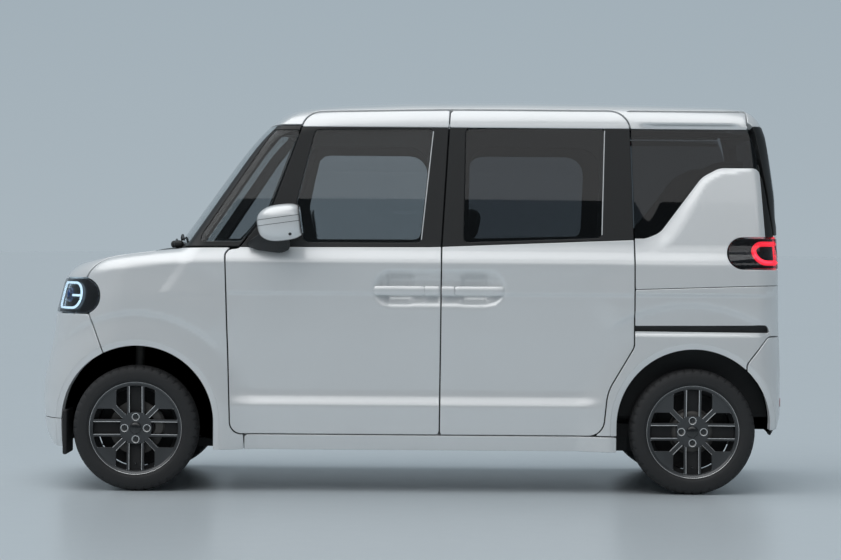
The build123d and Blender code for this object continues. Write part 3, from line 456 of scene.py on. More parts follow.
    def normals(self, p: Array) -> Array:
        """The outward directions at points of the surface."""
        step = 0.0015
        grow = [self.level(p + step * axis) - self.level(p - step * axis) for axis in np.eye(3)]
        n = np.stack(grow, axis=-1)
        return n / np.maximum(np.linalg.norm(n, axis=-1, keepdims=True), 1e-9)

    def meet(self, start: Array, way: Array, inset: float) -> Array:
        """Where rays meet the surface that lies inset below the skin.

        Args:
            start: The rays' first points, outside the body.
            way: The rays' unit directions.
            inset: The depth below the skin.

        Returns:
            The points met.
        """
        t = np.zeros(len(start))
        for turn in range(34):
            t += 0.86 * np.clip(self.level(start + way * t[:, None], turn > 20) + inset, -0.05, 1.0)
        return start + way * t[:, None]

    def on_it(self, p: Array, inset: float) -> Array:
        """Which points do lie on the surface that is inset below the skin."""
        return np.abs(self.level(p) + inset) < 0.004


class Ray(Enum):
    """The ways in which a patch of the skin is scanned."""

    SIDE = "x and z, along Y"
    REAR = "y and z, along X from the rear"
    NOSE_DRUM = "angle and z, round an upright axis, from the front"
    TAIL_DRUM = "angle and z, round an upright axis, from the rear"
    BARREL = "x and angle, round a lengthwise axis"
    HOOD = "angle and y, round a crosswise axis"


@dataclass(frozen=True)
class Patch:
    """A part of the body's skin, scanned on a grid of rays."""

    ray: Ray
    u: tuple[float, float]
    v: tuple[float, float]
    step: tuple[float, float] = (0.01, 0.01)
    axis: tuple[float, float] = (0.0, 0.0)
    inset: float = 0.0

    def rays(self, uv: Array) -> tuple[Array, Array]:
        """The rays of grid places.

        Args:
            uv: Grid places.

        Returns:
            Start points and unit directions.
        """
        u, v = uv.T
        none, one = np.zeros(len(u)), np.ones(len(u))
        a, b = self.axis
        far = 2.3
        if self.ray is Ray.SIDE:
            return np.stack([u, -one, v], 1), np.stack([none, one, none], 1)
        if self.ray is Ray.REAR:
            return np.stack([far * one, u, v], 1), np.stack([-one, none, none], 1)
        if self.ray in (Ray.NOSE_DRUM, Ray.TAIL_DRUM):
            ahead_or_back = -1 if self.ray is Ray.NOSE_DRUM else 1
            out = np.stack([ahead_or_back * np.cos(u), -np.sin(u), none], 1)
            foot = np.stack([a * one, b * one, v], 1)
        elif self.ray is Ray.BARREL:
            out = np.stack([none, -np.cos(v), np.sin(v)], 1)
            foot = np.stack([u, a * one, b * one], 1)
        else:
            out = np.stack([np.cos(u), none, np.sin(u)], 1)
            foot = np.stack([a * one, v, b * one], 1)
        return foot + 1.5 * out, -out

    def grid(self) -> tuple[Array, Array]:
        """The grid's places and its triangles."""
        n = max(2, round((self.u[1] - self.u[0]) / self.step[0]))
        m = max(2, round((self.v[1] - self.v[0]) / self.step[1]))
        u, v = np.meshgrid(np.linspace(*self.u, n + 1), np.linspace(*self.v, m + 1), indexing="ij")
        at = np.arange((n + 1) * (m + 1)).reshape(n + 1, m + 1)
        a, b, c, d = at[:-1, :-1].ravel(), at[1:, :-1].ravel(), at[1:, 1:].ravel(), at[:-1, 1:].ravel()
        tris = np.concatenate([np.stack([a, b, c], 1), np.stack([a, c, d], 1)])
        return np.stack([u.ravel(), v.ravel()], 1), tris


# Meshes


@dataclass
class Surface:
    """Points, triangles and shading directions of one mesh."""

    points: Array
    faces: Array
    normals: Array

    def mirrored(self) -> "Surface":
        """The same surface on the other side of the car."""
        flip = np.array([1, -1, 1])
        return Surface(self.points * flip, self.faces[:, ::-1], self.normals * flip)

    def on(self, side: Side) -> "Surface":
        """The surface as drawn for the left, put on a side."""
        return self if side is Side.LEFT else self.mirrored()

    def plus(self, *others: "Surface") -> "Surface":
        """This surface and others as one mesh.

        Args:
            others: The surfaces to add.

        Returns:
            The joined surface.
        """
        parts = [self, *others]
        starts = np.cumsum([0, *[len(s.points) for s in parts]])
        return Surface(
            np.concatenate([s.points for s in parts]),
            np.concatenate([s.faces + n for s, n in zip(parts, starts)]),
            np.concatenate([s.normals for s in parts]),
        )

    def mesh(self, name: str) -> bpy.types.Mesh:
        """The surface as a mesh with its own shading directions.

        Args:
            name: The mesh's name.

        Returns:
            The new mesh.
        """
        mesh = bpy.data.meshes.new(name)
        count = len(self.faces)
        mesh.vertices.add(len(self.points))
        mesh.vertices.foreach_set("co", self.points.astype(np.float32).ravel())
        mesh.loops.add(3 * count)
        mesh.loops.foreach_set("vertex_index", self.faces.astype(np.int32).ravel())
        mesh.polygons.add(count)
        mesh.polygons.foreach_set("loop_start", np.arange(0, 3 * count, 3, dtype=np.int32))
        mesh.polygons.foreach_set("use_smooth", np.ones(count, bool))
        mesh.update(calc_edges=True)
        mesh.normals_split_custom_set_from_vertices(self.normals.astype(np.float32))
        return mesh


class Skinner:
    """Cuts panels out of the body's skin and gives them thickness and rolled edges."""

    def __init__(self, form: BodyForm) -> None:
        """Keeps the form that the panels follow."""
        self.form = form

    def clip(
        self, patch: Patch, uv: Array, tris: Array, points: Array, keep: Field
    ) -> tuple[Array, Array, Array]:
        """Trims a patch to where a field is negative.

        Args:
            patch: The patch that is trimmed.
            uv: Its grid places.
            tris: Its triangles.
            points: Its points on the skin.
            keep: The field.

        Returns:
            The trimmed places, triangles and points.
        """
        value = keep(points)
        held = value <= 0
        count = held[tris].sum(1)
        whole, mixed = tris[count == 3], tris[(count == 1) | (count == 2)]
        if not len(mixed):
            return uv, whole, points
        edges = np.sort(np.concatenate([mixed[:, [0, 1]], mixed[:, [1, 2]], mixed[:, [2, 0]]]), axis=1)
        edges = np.unique(edges[held[edges[:, 0]] != held[edges[:, 1]]], axis=0)
        a = np.where(held[edges[:, 0]], edges[:, 0], edges[:, 1])
        b = edges.sum(1) - a
        near, far = np.zeros(len(a)), np.ones(len(a))
        low, high = value[a].copy(), value[b].copy()
        for _ in range(3):
            t = near + (far - near) * np.clip(low / (low - high - 1e-12), 0.02, 0.98)
            spot = uv[a] + (uv[b] - uv[a]) * t[:, None]
            place = self.form.meet(*patch.rays(spot), patch.inset)
            got = keep(place)
            near, low = np.where(got <= 0, t, near), np.where(got <= 0, got, low)
            far, high = np.where(got > 0, t, far), np.where(got > 0, got, high)
        cut = {(int(i), int(j)): len(uv) + k for k, (i, j) in enumerate(edges)}
        pieces: list[tuple[int, int, int]] = []
        for tri in mixed.tolist():
            inside = [bool(held[i]) for i in tri]
            lone = inside.index(True) if sum(inside) == 1 else inside.index(False)
            i, j, k = tri[lone], tri[lone - 2], tri[lone - 1]
            ij, ik = cut[min(i, j), max(i, j)], cut[min(i, k), max(i, k)]
            pieces += [(i, ij, ik)] if inside[lone] else [(ij, j, k), (ij, k, ik)]
        tris = np.concatenate([whole, np.array(pieces, dtype=whole.dtype)])
        return np.concatenate([uv, spot]), tris, np.concatenate([points, place])

    def trimmed(self, patch: Patch, fields: Sequence[Field], edge: float) -> tuple[Array, Array]:
        """The points and triangles of a patch inside all of its fields.

        Args:
            patch: The patch.
            fields: The fields that trim it.
            edge: The radius of the edge, which is left free at each cut.

        Returns:
            Points and triangles.
        """
        uv, tris = patch.grid()
        points = self.form.meet(*patch.rays(uv), patch.inset)
        tris = tris[self.form.on_it(points, patch.inset)[tris].all(1)]
        for one in fields:
            uv, tris, points = self.clip(patch, uv, tris, points, lambda p, f=one: f(p) + edge)
        used, tris = np.unique(tris, return_inverse=True)
        return points[used], tris.reshape(-1, 3)

    def panel(self, patch: Patch, fields: Sequence[Field], depth: float, edge: float = 0.0032) -> Surface:
        """A closed panel with rolled edges.

        Args:
            patch: The part of the skin it covers.
            fields: The fields that trim it.
            depth: Its thickness.
            edge: The radius of its outer edges.

        Returns:
            The panel's surface.
        """
        points, tris = self.trimmed(patch, fields, edge)
        normals = self.form.normals(points)
        a, b, c = (points[tris[:, i]] for i in range(3))
        facing = (np.cross(b - a, c - a) * normals[tris[:, 0]]).sum()
        tris = tris if facing > 0 else tris[:, ::-1]
        return rolled(points, tris, normals, depth, edge)


FINE_EDGE = 0.002


def rolled(points: Array, tris: Array, normals: Array, depth: float, edge: float) -> Surface:
    """A sheet as a closed shell with rolled outer edges.

    Args:
        points: The sheet's points.
        tris: Its triangles, facing outwards.
        normals: Its outward directions.
        depth: The shell's thickness.
        edge: The radius of the outer edges.

    Returns:
        The shell.
    """
    count = len(points)
    ends = np.concatenate([tris[:, [0, 1]], tris[:, [1, 2]], tris[:, [2, 0]]])
    code = ends[:, 0].astype(np.int64) * count + ends[:, 1]
    back = ends[:, 1].astype(np.int64) * count + ends[:, 0]
    rim = ends[~np.isin(code, back)]
    way = points[rim[:, 1]] - points[rim[:, 0]]
    away = np.cross(way, normals[rim[:, 0]] + normals[rim[:, 1]])
    away /= np.maximum(np.linalg.norm(away, axis=1, keepdims=True), 1e-12)
    out = np.zeros_like(points)
    np.add.at(out, rim[:, 0], away)
    np.add.at(out, rim[:, 1], away)
    ring = np.unique(rim)
    place = np.zeros(count, int)
    place[ring] = np.arange(len(ring))
    p, n, o = points[ring], normals[ring], out[ring]
    o = o - (o * n).sum(1, keepdims=True) * n
    o /= np.maximum(np.linalg.norm(o, axis=1, keepdims=True), 1e-9)
    rows, shade = [], []
    for turn in (math.pi / 2,) if edge < FINE_EDGE else (math.pi / 4, math.pi / 2):
        rows.append(p + edge * (math.sin(turn) * o - (1 - math.cos(turn)) * n))
        shade.append(math.cos(turn) * n + math.sin(turn) * o)
    rows += [p + edge * o - depth * n, p - depth * n]
    shade += [o, -n]
    all_points = np.concatenate([points, *rows, points - depth * normals])
    all_normals = np.concatenate([normals, *shade, -normals])
    faces = [tris]
    i, j = rim.T
    for k in range(len(rows)):
        top_i = i if k == 0 else count + (k - 1) * len(ring) + place[i]
        top_j = j if k == 0 else count + (k - 1) * len(ring) + place[j]
        low_i, low_j = count + k * len(ring) + place[i], count + k * len(ring) + place[j]
        faces += [np.stack([top_i, low_i, low_j], 1), np.stack([top_i, low_j, top_j], 1)]
    faces.append(tris[:, ::-1] + count + len(rows) * len(ring))
    return Surface(all_points, np.concatenate(faces), all_normals)


# Finishes


class Groups:
    """Shader groups that more than one finish uses."""

    SOCKETS: dict[str, str] = {"Colour": "NodeSocketColor", "Normal": "NodeSocketVector"}

    @classmethod
    def built(
        cls, name: str, inputs: Sequence[str], outputs: Sequence[str], kinds: dict[str, str],
        values: Sequence[tuple[str, str | int, float]],
        links: Sequence[tuple[str, str | int, str, str | int]],
    ) -> bpy.types.NodeTree:
        """A group made from tables, once.

        Args:
            name: The group's name.
            inputs: Names of the inputs.
            outputs: Names of the outputs.
            kinds: Type of each node, with a math node's operation after a colon.
            values: Node, socket and value of each fixed value.
            links: Node and socket at the start and at the end of each link.

        Returns:
            The group's tree.
        """
        if name in bpy.data.node_groups:
            return bpy.data.node_groups[name]
        tree = bpy.data.node_groups.new(name, "ShaderNodeTree")
        for way, labels in (("INPUT", inputs), ("OUTPUT", outputs)):
            for label in labels:
                kind = cls.SOCKETS.get(label, "NodeSocketFloat")
                tree.interface.new_socket(label, in_out=way, socket_type=kind)
        nodes: dict[str, bpy.types.Node] = {}
        for key, kind in {"given": "NodeGroupInput", "out": "NodeGroupOutput", **kinds}.items():
            kind, _, operation = kind.partition(":")
            nodes[key] = tree.nodes.new(kind)
            if operation:
                nodes[key].operation = operation
        for key, socket, value in values:
            nodes[key].inputs[socket].default_value = value
        for start, out, end, into in links:
            tree.links.new(nodes[start].outputs[out], nodes[end].inputs[into])
        return tree

    @classmethod
    def mottle(cls) -> bpy.types.NodeTree:
        """A group that lightens and darkens a colour in soft clouds."""
        return cls.built(
            "soft_mottle", ("Colour", "Amount", "Scale"), ("Colour",),
            {
                "place": "ShaderNodeTexCoord", "noise": "ShaderNodeTexNoise",
                "tone": "ShaderNodeHueSaturation",
                "span": "ShaderNodeMath:MULTIPLY_ADD", "shift": "ShaderNodeMath:SUBTRACT",
            },
            (("shift", 1, 0.5), ("noise", "Detail", 4), ("span", 2, 1)),
            (
                ("place", "Object", "noise", "Vector"), ("given", "Scale", "noise", "Scale"),
                ("noise", "Fac", "shift", 0), ("shift", 0, "span", 0), ("given", "Amount", "span", 1),
                ("span", 0, "tone", "Value"), ("given", "Colour", "tone", "Color"),
                ("tone", "Color", "out", "Colour"),
            ),
        )

    @classmethod
    def grain(cls) -> bpy.types.NodeTree:
        """A group that varies the gloss and raises a fine grain."""
        return cls.built(
            "fine_grain", ("Roughness", "Spread", "Scale", "Height"), ("Roughness", "Normal"),
            {
                "place": "ShaderNodeTexCoord", "fine": "ShaderNodeTexNoise", "wide": "ShaderNodeTexNoise",
                "bump": "ShaderNodeBump", "shift": "ShaderNodeMath:SUBTRACT",
                "total": "ShaderNodeMath:MULTIPLY_ADD",
            },
            (
                ("wide", "Scale", 9), ("wide", "Detail", 3), ("fine", "Detail", 2), ("bump", "Strength", 1),
                ("shift", 1, 0.5),
            ),
            (
                ("place", "Object", "fine", "Vector"), ("place", "Object", "wide", "Vector"),
                ("given", "Scale", "fine", "Scale"), ("fine", "Fac", "bump", "Height"),
                ("given", "Height", "bump", "Distance"), ("wide", "Fac", "shift", 0),
                ("shift", 0, "total", 0),
                ("given", "Spread", "total", 1), ("given", "Roughness", "total", 2),
                ("total", 0, "out", "Roughness"), ("bump", "Normal", "out", "Normal"),
            ),
        )


COAT_ROUGHNESS = 0.03


@dataclass(frozen=True)
class Finish:
    """A solid finish with soft clouds of tone and a fine grain."""

    name: str
    colour: tuple[float, float, float]
    roughness: float = 0.4
    metallic: float = 0.0
    coat: float = 0.0
    mottle: float = 0.05
    mottle_scale: float = 5.0
    spread: float = 0.06
    grain_scale: float = 700.0
    grain_height: float = 0.00002

    def material(self) -> bpy.types.Material:
        """The finish's material, made once.

        Returns:
            The material.
        """
        if self.name in bpy.data.materials:
            return bpy.data.materials[self.name]
        made = bpy.data.materials.new(self.name)
        made.use_nodes = True
        tree = made.node_tree
        shader = tree.nodes["Principled BSDF"]
        tone, fine = tree.nodes.new("ShaderNodeGroup"), tree.nodes.new("ShaderNodeGroup")
        tone.node_tree, fine.node_tree = Groups.mottle(), Groups.grain()
        for node, label, value in (
            (tone, "Colour", (*self.colour, 1)), (tone, "Amount", self.mottle),
            (tone, "Scale", self.mottle_scale),
            (fine, "Roughness", self.roughness), (fine, "Spread", self.spread),
            (fine, "Scale", self.grain_scale),
            (fine, "Height", self.grain_height), (shader, "Metallic", self.metallic),
            (shader, "Coat Weight", self.coat), (shader, "Coat Roughness", COAT_ROUGHNESS),
        ):
            node.inputs[label].default_value = value
        tree.links.new(tone.outputs["Colour"], shader.inputs["Base Color"])
        tree.links.new(fine.outputs["Roughness"], shader.inputs["Roughness"])
        if self.grain_height:
            tree.links.new(fine.outputs["Normal"], shader.inputs["Normal"])
        self.adjust(tree, shader)
        return made

    def adjust(self, tree: bpy.types.NodeTree, shader: bpy.types.Node) -> None:
        """Hook for what a special finish adds."""


@dataclass(frozen=True)
class Glass(Finish):
    """Clear or tinted glass."""

    roughness: float = 0.01
    mottle_scale: float = 3.0
    spread: float = 0.005
    grain_scale: float = 40.0
    grain_height: float = 0.0

    def adjust(self, tree: bpy.types.NodeTree, shader: bpy.types.Node) -> None:
        """Lets light through."""
        shader.inputs["Transmission Weight"].default_value = 1.0
        shader.inputs["IOR"].default_value = 1.45


@dataclass(frozen=True)
class Glow(Finish):
    """A lit lamp part."""

    roughness: float = 0.3
    mottle: float = 0.04
    mottle_scale: float = 20.0
    spread: float = 0.05
    grain_scale: float = 300.0
    grain_height: float = 0.0
    strength: float = 2.6

    def adjust(self, tree: bpy.types.NodeTree, shader: bpy.types.Node) -> None:
        """Adds the light that the part gives off."""
        shader.inputs["Emission Color"].default_value = (*self.colour, 1)
        shader.inputs["Emission Strength"].default_value = self.strength


@dataclass(frozen=True)
class Paints:
    """Every finish of the car."""

    body: Finish = Finish("pearl_white", (0.84, 0.85, 0.855), 0.36, 0.36, 1, 0.03, 3, 0.05, 2600, 4e-6)
    black: Finish = Finish("gloss_black", (0.012, 0.013, 0.014), 0.16, 0, 0.6, 0.2, 4, 0.05, 900, 4e-6)
    plastic: Finish = Finish("grained_black", (0.018, 0.019, 0.02), 0.55, 0, 0, 0.2, 9, 0.1, 900, 1.2e-4)
    satin: Finish = Finish("satin_black", (0.012, 0.0125, 0.013), 0.42, 0, 0, 0.2, 4, 0.05, 900, 4e-6)
    tint: Finish = Glass("dark_glass", (0.235, 0.25, 0.265))
    clear: Finish = Glass("door_glass", (0.46, 0.485, 0.5))
    privacy: Finish = Glass("privacy_glass", (0.13, 0.14, 0.15))
    shield: Finish = Glass("front_glass", (0.78, 0.81, 0.81))
    steel: Finish = Finish("bare_steel", (0.5, 0.5, 0.5), 0.32, 1, 0, 0.1, 12, 0.1, 900, 3e-5)
    dull: Finish = Finish("dull_steel", (0.2, 0.195, 0.19), 0.5, 0.9, 0, 0.2, 9, 0.12, 700, 6e-5)
    iron: Finish = Finish("cast_iron", (0.11, 0.105, 0.1), 0.55, 0.9, 0, 0.25, 14, 0.15, 500, 2e-4)
    under: Finish = Finish("underbody_coat", (0.02, 0.02, 0.021), 0.75, 0, 0, 0.3, 7, 0.12, 300, 5e-4)
    alloy: Finish = Finish("grey_alloy", (0.085, 0.087, 0.09), 0.36, 0.75, 0.3, 0.12, 8, 0.08, 1500, 2e-5)
    # bright: a near-white metal for bright trims; on the wheels it paints the highlights of the edges
    bright: Finish = Finish("machined_edge", (0.88, 0.88, 0.88), 0.25, 0.55, 0, 0.08, 20, 0.08, 2500, 1e-5)
    rubber: Finish = Finish("tyre_rubber", (0.022, 0.022, 0.023), 0.72, 0, 0, 0.25, 10, 0.12, 600, 1.6e-4)
    trim: Finish = Finish("cabin_trim", (0.03, 0.031, 0.033), 0.6, 0, 0, 0.2, 8, 0.1, 700, 1.5e-4)
    smoke: Finish = Glass("smoked_lens", (0.42, 0.43, 0.45), 0.02, mottle_scale=6, spread=0.01)
    ice: Finish = Glow("ice_light", (0.62, 0.84, 1.0))
    red: Finish = Glow("red_light", (1.0, 0.025, 0.05), strength=2.2)
    eye: Finish = Finish("blue_lens", (0.02, 0.07, 0.22), 0.08, 0.3, 1, 0.3, 25, 0.04, 200, 0)
    red_plastic: Finish = Finish("red_reflector", (0.35, 0.01, 0.015), 0.15, 0, 0.8, 0.2, 40, 0.08, 500, 4e-4)
    blank: Finish = Finish("blank_plate", (0.62, 0.63, 0.62), 0.45, 0, 0, 0.04, 6, 0.06, 300, 2e-5)
    mirror: Finish = Finish("mirror_glass", (0.75, 0.78, 0.8), 0.03, 1, 0, 0.03, 5, 0.02, 100, 0)
    cloth: Finish = Finish("seat_cloth", (0.1, 0.105, 0.11), 0.9, 0, 0, 0.35, 30, 0.08, 900, 6e-4)


PAINTS = Paints()


# Building and placing pieces

Row = tuple[str, Surface, Finish, str, str, *tuple[str, ...]]


class Assembly:
    """A group of pieces that ride on bodies of the frame."""

    def __init__(self, sizes: CarSizes, skinner: Skinner) -> None:
        """Keeps the shared sizes and the panel cutter.

        Args:
            sizes: The shared sizes of the body.
            skinner: The panel cutter.
        """
        self.s = sizes
        self.skin = skinner

    def place(
        self, name: str, shape: Surface, finish: Finish, body: str, slot: str, *nodes: str
    ) -> bpy.types.Object:
        """Makes a piece and sets it on a body.

        Args:
            name: The piece's name.
            shape: Its surface.
            finish: Its finish.
            body: The body of the frame that it rides on.
            slot: The record's material slot; not used.
            nodes: The CAD nodes that it stands for.

        Returns:
            The new piece.
        """
        mesh = shape.mesh(name)
        piece = bpy.data.objects.new(name, mesh)
        bpy.context.scene.collection.objects.link(piece)
        mesh.materials.append(finish.material())
        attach(piece, body)
        if nodes:
            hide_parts(*nodes)
        LOG.info("%s: %d triangles on %s", name, len(mesh.polygons), body)
        return piece

    def pairs(self, *rows: Row) -> None:
        """Places pieces that are drawn for the left on both sides.

        Args:
            rows: Name, surface, finish, body, slot and CAD nodes of each piece, with {} for the side's word.
                A node without {} belongs to the left piece alone.
        """
        for side in Side:
            word = side.word
            for name, shape, finish, body, slot, *nodes in rows:
                mine = [node.format(word) for node in nodes if "{}" in node or side is Side.LEFT]
                self.place(name.format(word), shape.on(side), finish, body.format(word), slot, *mine)


class Lines:
    """The outlines that cut the body into panels."""

    def __init__(self, s: CarSizes) -> None:
        """Draws the outlines.

        Args:
            s: The shared sizes of the body.
        """
        low, shut = s.door_low_z, s.roof_shut_z
        self.front_door = Outline((
            (0.131, low, 0), (0.136, 1.105, 0), (0.172, shut, 0), (-0.472, shut - 0.012, 0.09),
            (-0.626, 1.277, 0.12), (-0.772, 1.093, 0.02), (-0.834, 1.085, 0.045), (-0.806, low, 0.055),
        ))
        self.front_window = Outline((
            (0.043, 1.12, 0.02), (0.097, 1.633, 0.02), (-0.436, 1.627, 0.025), (-0.518, 1.29, 0.12),
            (-0.482, 1.118, 0.03),
        ))
        self.slide_door = Outline((
            (0.862, low, 0.075), (0.883, 0.46, 0.2), (1.001, 0.66, 0.06), (1.0, 1.095, 0),
            (0.98, shut, 0.095), (0.172, shut, 0), (0.136, 1.105, 0), (0.131, low, 0),
        ))
        self.rear_window = Outline((
            (0.852, 1.147, 0.02), (0.867, 1.641, 0.02), (0.241, 1.636, 0.02), (0.234, 1.123, 0.02),
        ))
        self.quarter_window = Outline(QUARTER_WINDOW)
        self.front_inner = Outline((
            (0.04, 1.135, 0.03), (0.083, 1.551, 0.09), (-0.455, 1.551, 0.05), (-0.512, 1.29, 0.12),
            (-0.476, 1.133, 0.03),
        ))
        self.rear_inner = Outline((
            (0.835, 1.157, 0.04), (0.845, 1.551, 0.09), (0.262, 1.551, 0.09), (0.255, 1.14, 0.04),
        ))
        self.front_quarter = Outline((
            (-0.762, 1.121, 0.008), (-0.635, 1.275, 0.06), (-0.503, 1.625, 0.01), (-0.622, 1.625, 0.01),
            (-0.94, 1.15, 0.03), (-0.945, 1.121, 0.01),
        ))
        self.shield = Outline(
            ((-0.64, 1.112, 0.03), (0.64, 1.112, 0.03), (0.578, 1.648, 0.03), (-0.578, 1.648, 0.03)), (1, 2)
        )
        self.lamp = Outline((
            (-1.9, s.lamp_low, 0), (-1.395, s.lamp_low, 0.078), (-1.395, s.lamp_top, 0.078),
            (-1.9, s.lamp_top, 0),
        ))
        self.tail_lamp = Outline((
            (1.4165, 1.013, 0.068), (1.9, 1.013, 0), (1.9, 1.152, 0), (1.4165, 1.152, 0.068),
        ))
        self.front_bumper = Outline((
            (-1.9, 0.1, 0), (-1.3695, 0.1, 0), (-1.3695, 0.603, 0), (-1.4455, s.lamp_low, 0),
            (-1.9, s.lamp_low, 0),
        ))
        self.rear_bumper = Outline((
            (1.5045, 0.1, 0), (1.9, 0.1, 0), (1.9, s.bumper_top, 0), (1.6025, s.bumper_top, 0.03),
            (1.5045, 0.586, 0.03),
        ))
        self.sill = Outline(rect((-0.744, 0.1), (0.932, low)))
        self.gate_window = Outline((
            (-0.6175, 1.192, 0.06), (0.6175, 1.192, 0.06), (0.5475, 1.62, 0.05), (-0.5475, 1.62, 0.05),
        ), (1, 2))
        self.gate = Outline(
            (
                (-s.gate_half, s.gate_low, 0.05), (s.gate_half, s.gate_low, 0.05), (s.gate_half, 1.3, 0.3),
                (0.575, 1.9, 0), (-0.575, 1.9, 0), (-s.gate_half, 1.3, 0.3),
            ),
            (1, 2),
        )
        self.gate_lamp = Outline((
            (-0.7, 1.013, 0), (-0.462, 1.013, 0.068), (-0.462, 1.152, 0.068), (-0.7, 1.152, 0),
        ), (1, 2))
        self.belt = Profile((
            (-1.3, 1.093), (-0.77, 1.097), (0.09, 1.102), (0.14, 1.104), (1.0, 1.14), (1.8, 1.16),
        ), 0.02)
        self.slot = Outline((
            (0.995, 0.731, 0), (1.606, 0.728, 0.004), (1.596, 0.7605, 0.016), (0.995, 0.7555, 0),
        ))


class BodyPanels(Assembly):
    """The fixed outer panels of the body."""

    skin_t: float = 0.02
    lip_edge: float = 0.0012
    lip_z: float = 0.318
    pane_t: float = 0.004
    pane_edge: float = 0.001
    pane_inset: float = 0.003
    shield_top: float = 1.648
    rail_z: float = 1.6
    post_x: float = 1.556
    joint: float = 0.0005

    def __init__(self, sizes: CarSizes, skinner: Skinner, lines: Lines) -> None:
        """Keeps the outlines too.

        Args:
            sizes: The shared sizes of the body.
            skinner: The panel cutter.
            lines: The outlines that cut the body.
        """
        super().__init__(sizes, skinner)
        self.lines = lines

    def lipped(self, patch: Patch, fields: Sequence[Field]) -> Surface:
        """A panel that ends in a flat lip at the wheel arch.

        Args:
            patch: The scanned patch.
            fields: What the panel is cut by, apart from the arches.

        Returns:
            The panel with its lip.
        """
        s = self.s
        main = self.skin.panel(patch, (*fields, s.off_arches(s.lip_w)), self.skin_t)
        lip = (*fields, s.off_arches(), s.near_arches(s.lip_w))
        return main.plus(self.skin.panel(patch, lip, self.skin_t, self.lip_edge))

    def fenders(self) -> None:
        """Builds both front fenders."""
        s, c, l = self.s, self.s.seam, self.lines
        patch = Patch(Ray.BARREL, (-1.56, -0.72), (-0.98, 1.15), (0.0175, 0.026), (-0.3, 0.7))
        fields = (
            ahead(-0.744, c), l.front_door.beyond(c), l.sill.beyond(c), under(l.belt, c), over(s.sill_z),
            l.front_bumper.beyond(c), l.lamp.beyond(c),
            either(outboard(s.hood_half, c), behind(s.hood_rear, c)), outboard(0.64),
        )
        left = self.lipped(patch, fields)
        self.pairs(("front_fender_{}", left, PAINTS.body, "body", "paint", "front_fenders"))

    def front_bumper(self) -> None:
        """Builds the front bumper with its lower lip."""
        s, c, l = self.s, self.s.seam, self.lines
        patch = Patch(Ray.NOSE_DRUM, (-1.75, 1.75), (0.17, 0.8), (0.022, 0.015), s.nose_axis)
        intake = Outline((
            (-0.47, 0.225, 0.025), (0.47, 0.225, 0.025), (0.43, 0.298, 0.025), (-0.43, 0.298, 0.025),
        ), (1, 2))
        fields = (l.front_bumper.within(c), over(s.sill_z), intake.beyond())
        upper = self.lipped(patch, (*fields, over(self.lip_z, c / 2)))
        lip = self.lipped(patch, (*fields, under(self.lip_z, c / 2)))
        deep = replace(patch, u=(-0.8, 0.8), v=(0.2, 0.32), inset=0.024)
        mesh = self.skin.panel(deep, (intake.within(-0.012),), 0.012)
        self.place("front_bumper_skin", upper, PAINTS.body, "body", "paint", "front_bumper")
        self.place("front_bumper_lip", lip, PAINTS.body, "body", "paint")
        self.place("front_intake", mesh, PAINTS.plastic, "body", "black_plastic")

    def pillars(self) -> None:
        """Builds the black front pillars with their small panes."""
        c, l = self.s.seam, self.lines
        patch = Patch(Ray.NOSE_DRUM, (0.35, 1.75), (1.08, 1.67), (0.016, 0.016), (-0.3, 0.0))
        fields = (
            l.front_door.beyond(c), over(l.belt, c), under(self.shield_top, c), l.shield.beyond(0.001),
            ahead(-0.45),
        )
        post = self.skin.panel(patch, (*fields, l.front_quarter.beyond()), 0.05)
        inner = replace(patch, inset=self.pane_inset)
        pane = self.skin.panel(inner, (l.front_quarter.within(0.001),), self.pane_t, self.pane_edge)
        self.pairs(
            ("front_pillar_{}", post, PAINTS.satin, "body", "black_gloss"),
            ("front_quarter_pane_{}", pane, PAINTS.clear, "body", "clear_glass"),
        )

    def windshield(self) -> None:
        """Builds the windshield and the cowl below it."""
        s, c, l = self.s, self.s.seam, self.lines
        patch = Patch(Ray.NOSE_DRUM, (-1.2, 1.2), (1.08, 1.68), (0.026, 0.026), (-0.3, 0.0), 0.002)
        pane = self.skin.panel(patch, (l.shield.within(0.001),), 0.005, 0.0012)
        self.place("windshield_pane", pane, PAINTS.shield, "body", "clear_glass", "windshield")
        base = Patch(Ray.HOOD, (0.55, 1.35), (-0.66, 0.66), (0.016, 0.022), (-1.3, 0.7))
        cowl = self.skin.panel(base, (behind(s.hood_rear, c), under(1.112), inboard(0.64)), 0.03)
        self.place("cowl_top", cowl, PAINTS.plastic, "body", "black_plastic")

    def roof(self) -> None:
        """Builds the roof panel."""
        s, c, l = self.s, self.s.seam, self.lines
        patch = Patch(Ray.BARREL, (-0.8, 1.56), (0.3, math.pi - 0.3), (0.032, 0.026), (0.0, 1.2))
        sides = Outline(rect((0.975, 1.2), (1.9, s.roof_shut_z)))
        fields = (
            over(self.shield_top, c), l.front_door.beyond(c), l.slide_door.beyond(c), sides.beyond(c),
            either(ahead(s.gate_x, c), l.gate.beyond(c)),
        )
        skin = self.skin.panel(patch, fields, self.skin_t)
        self.place("roof_skin", skin, PAINTS.body, "body", "paint", "roof_panel")

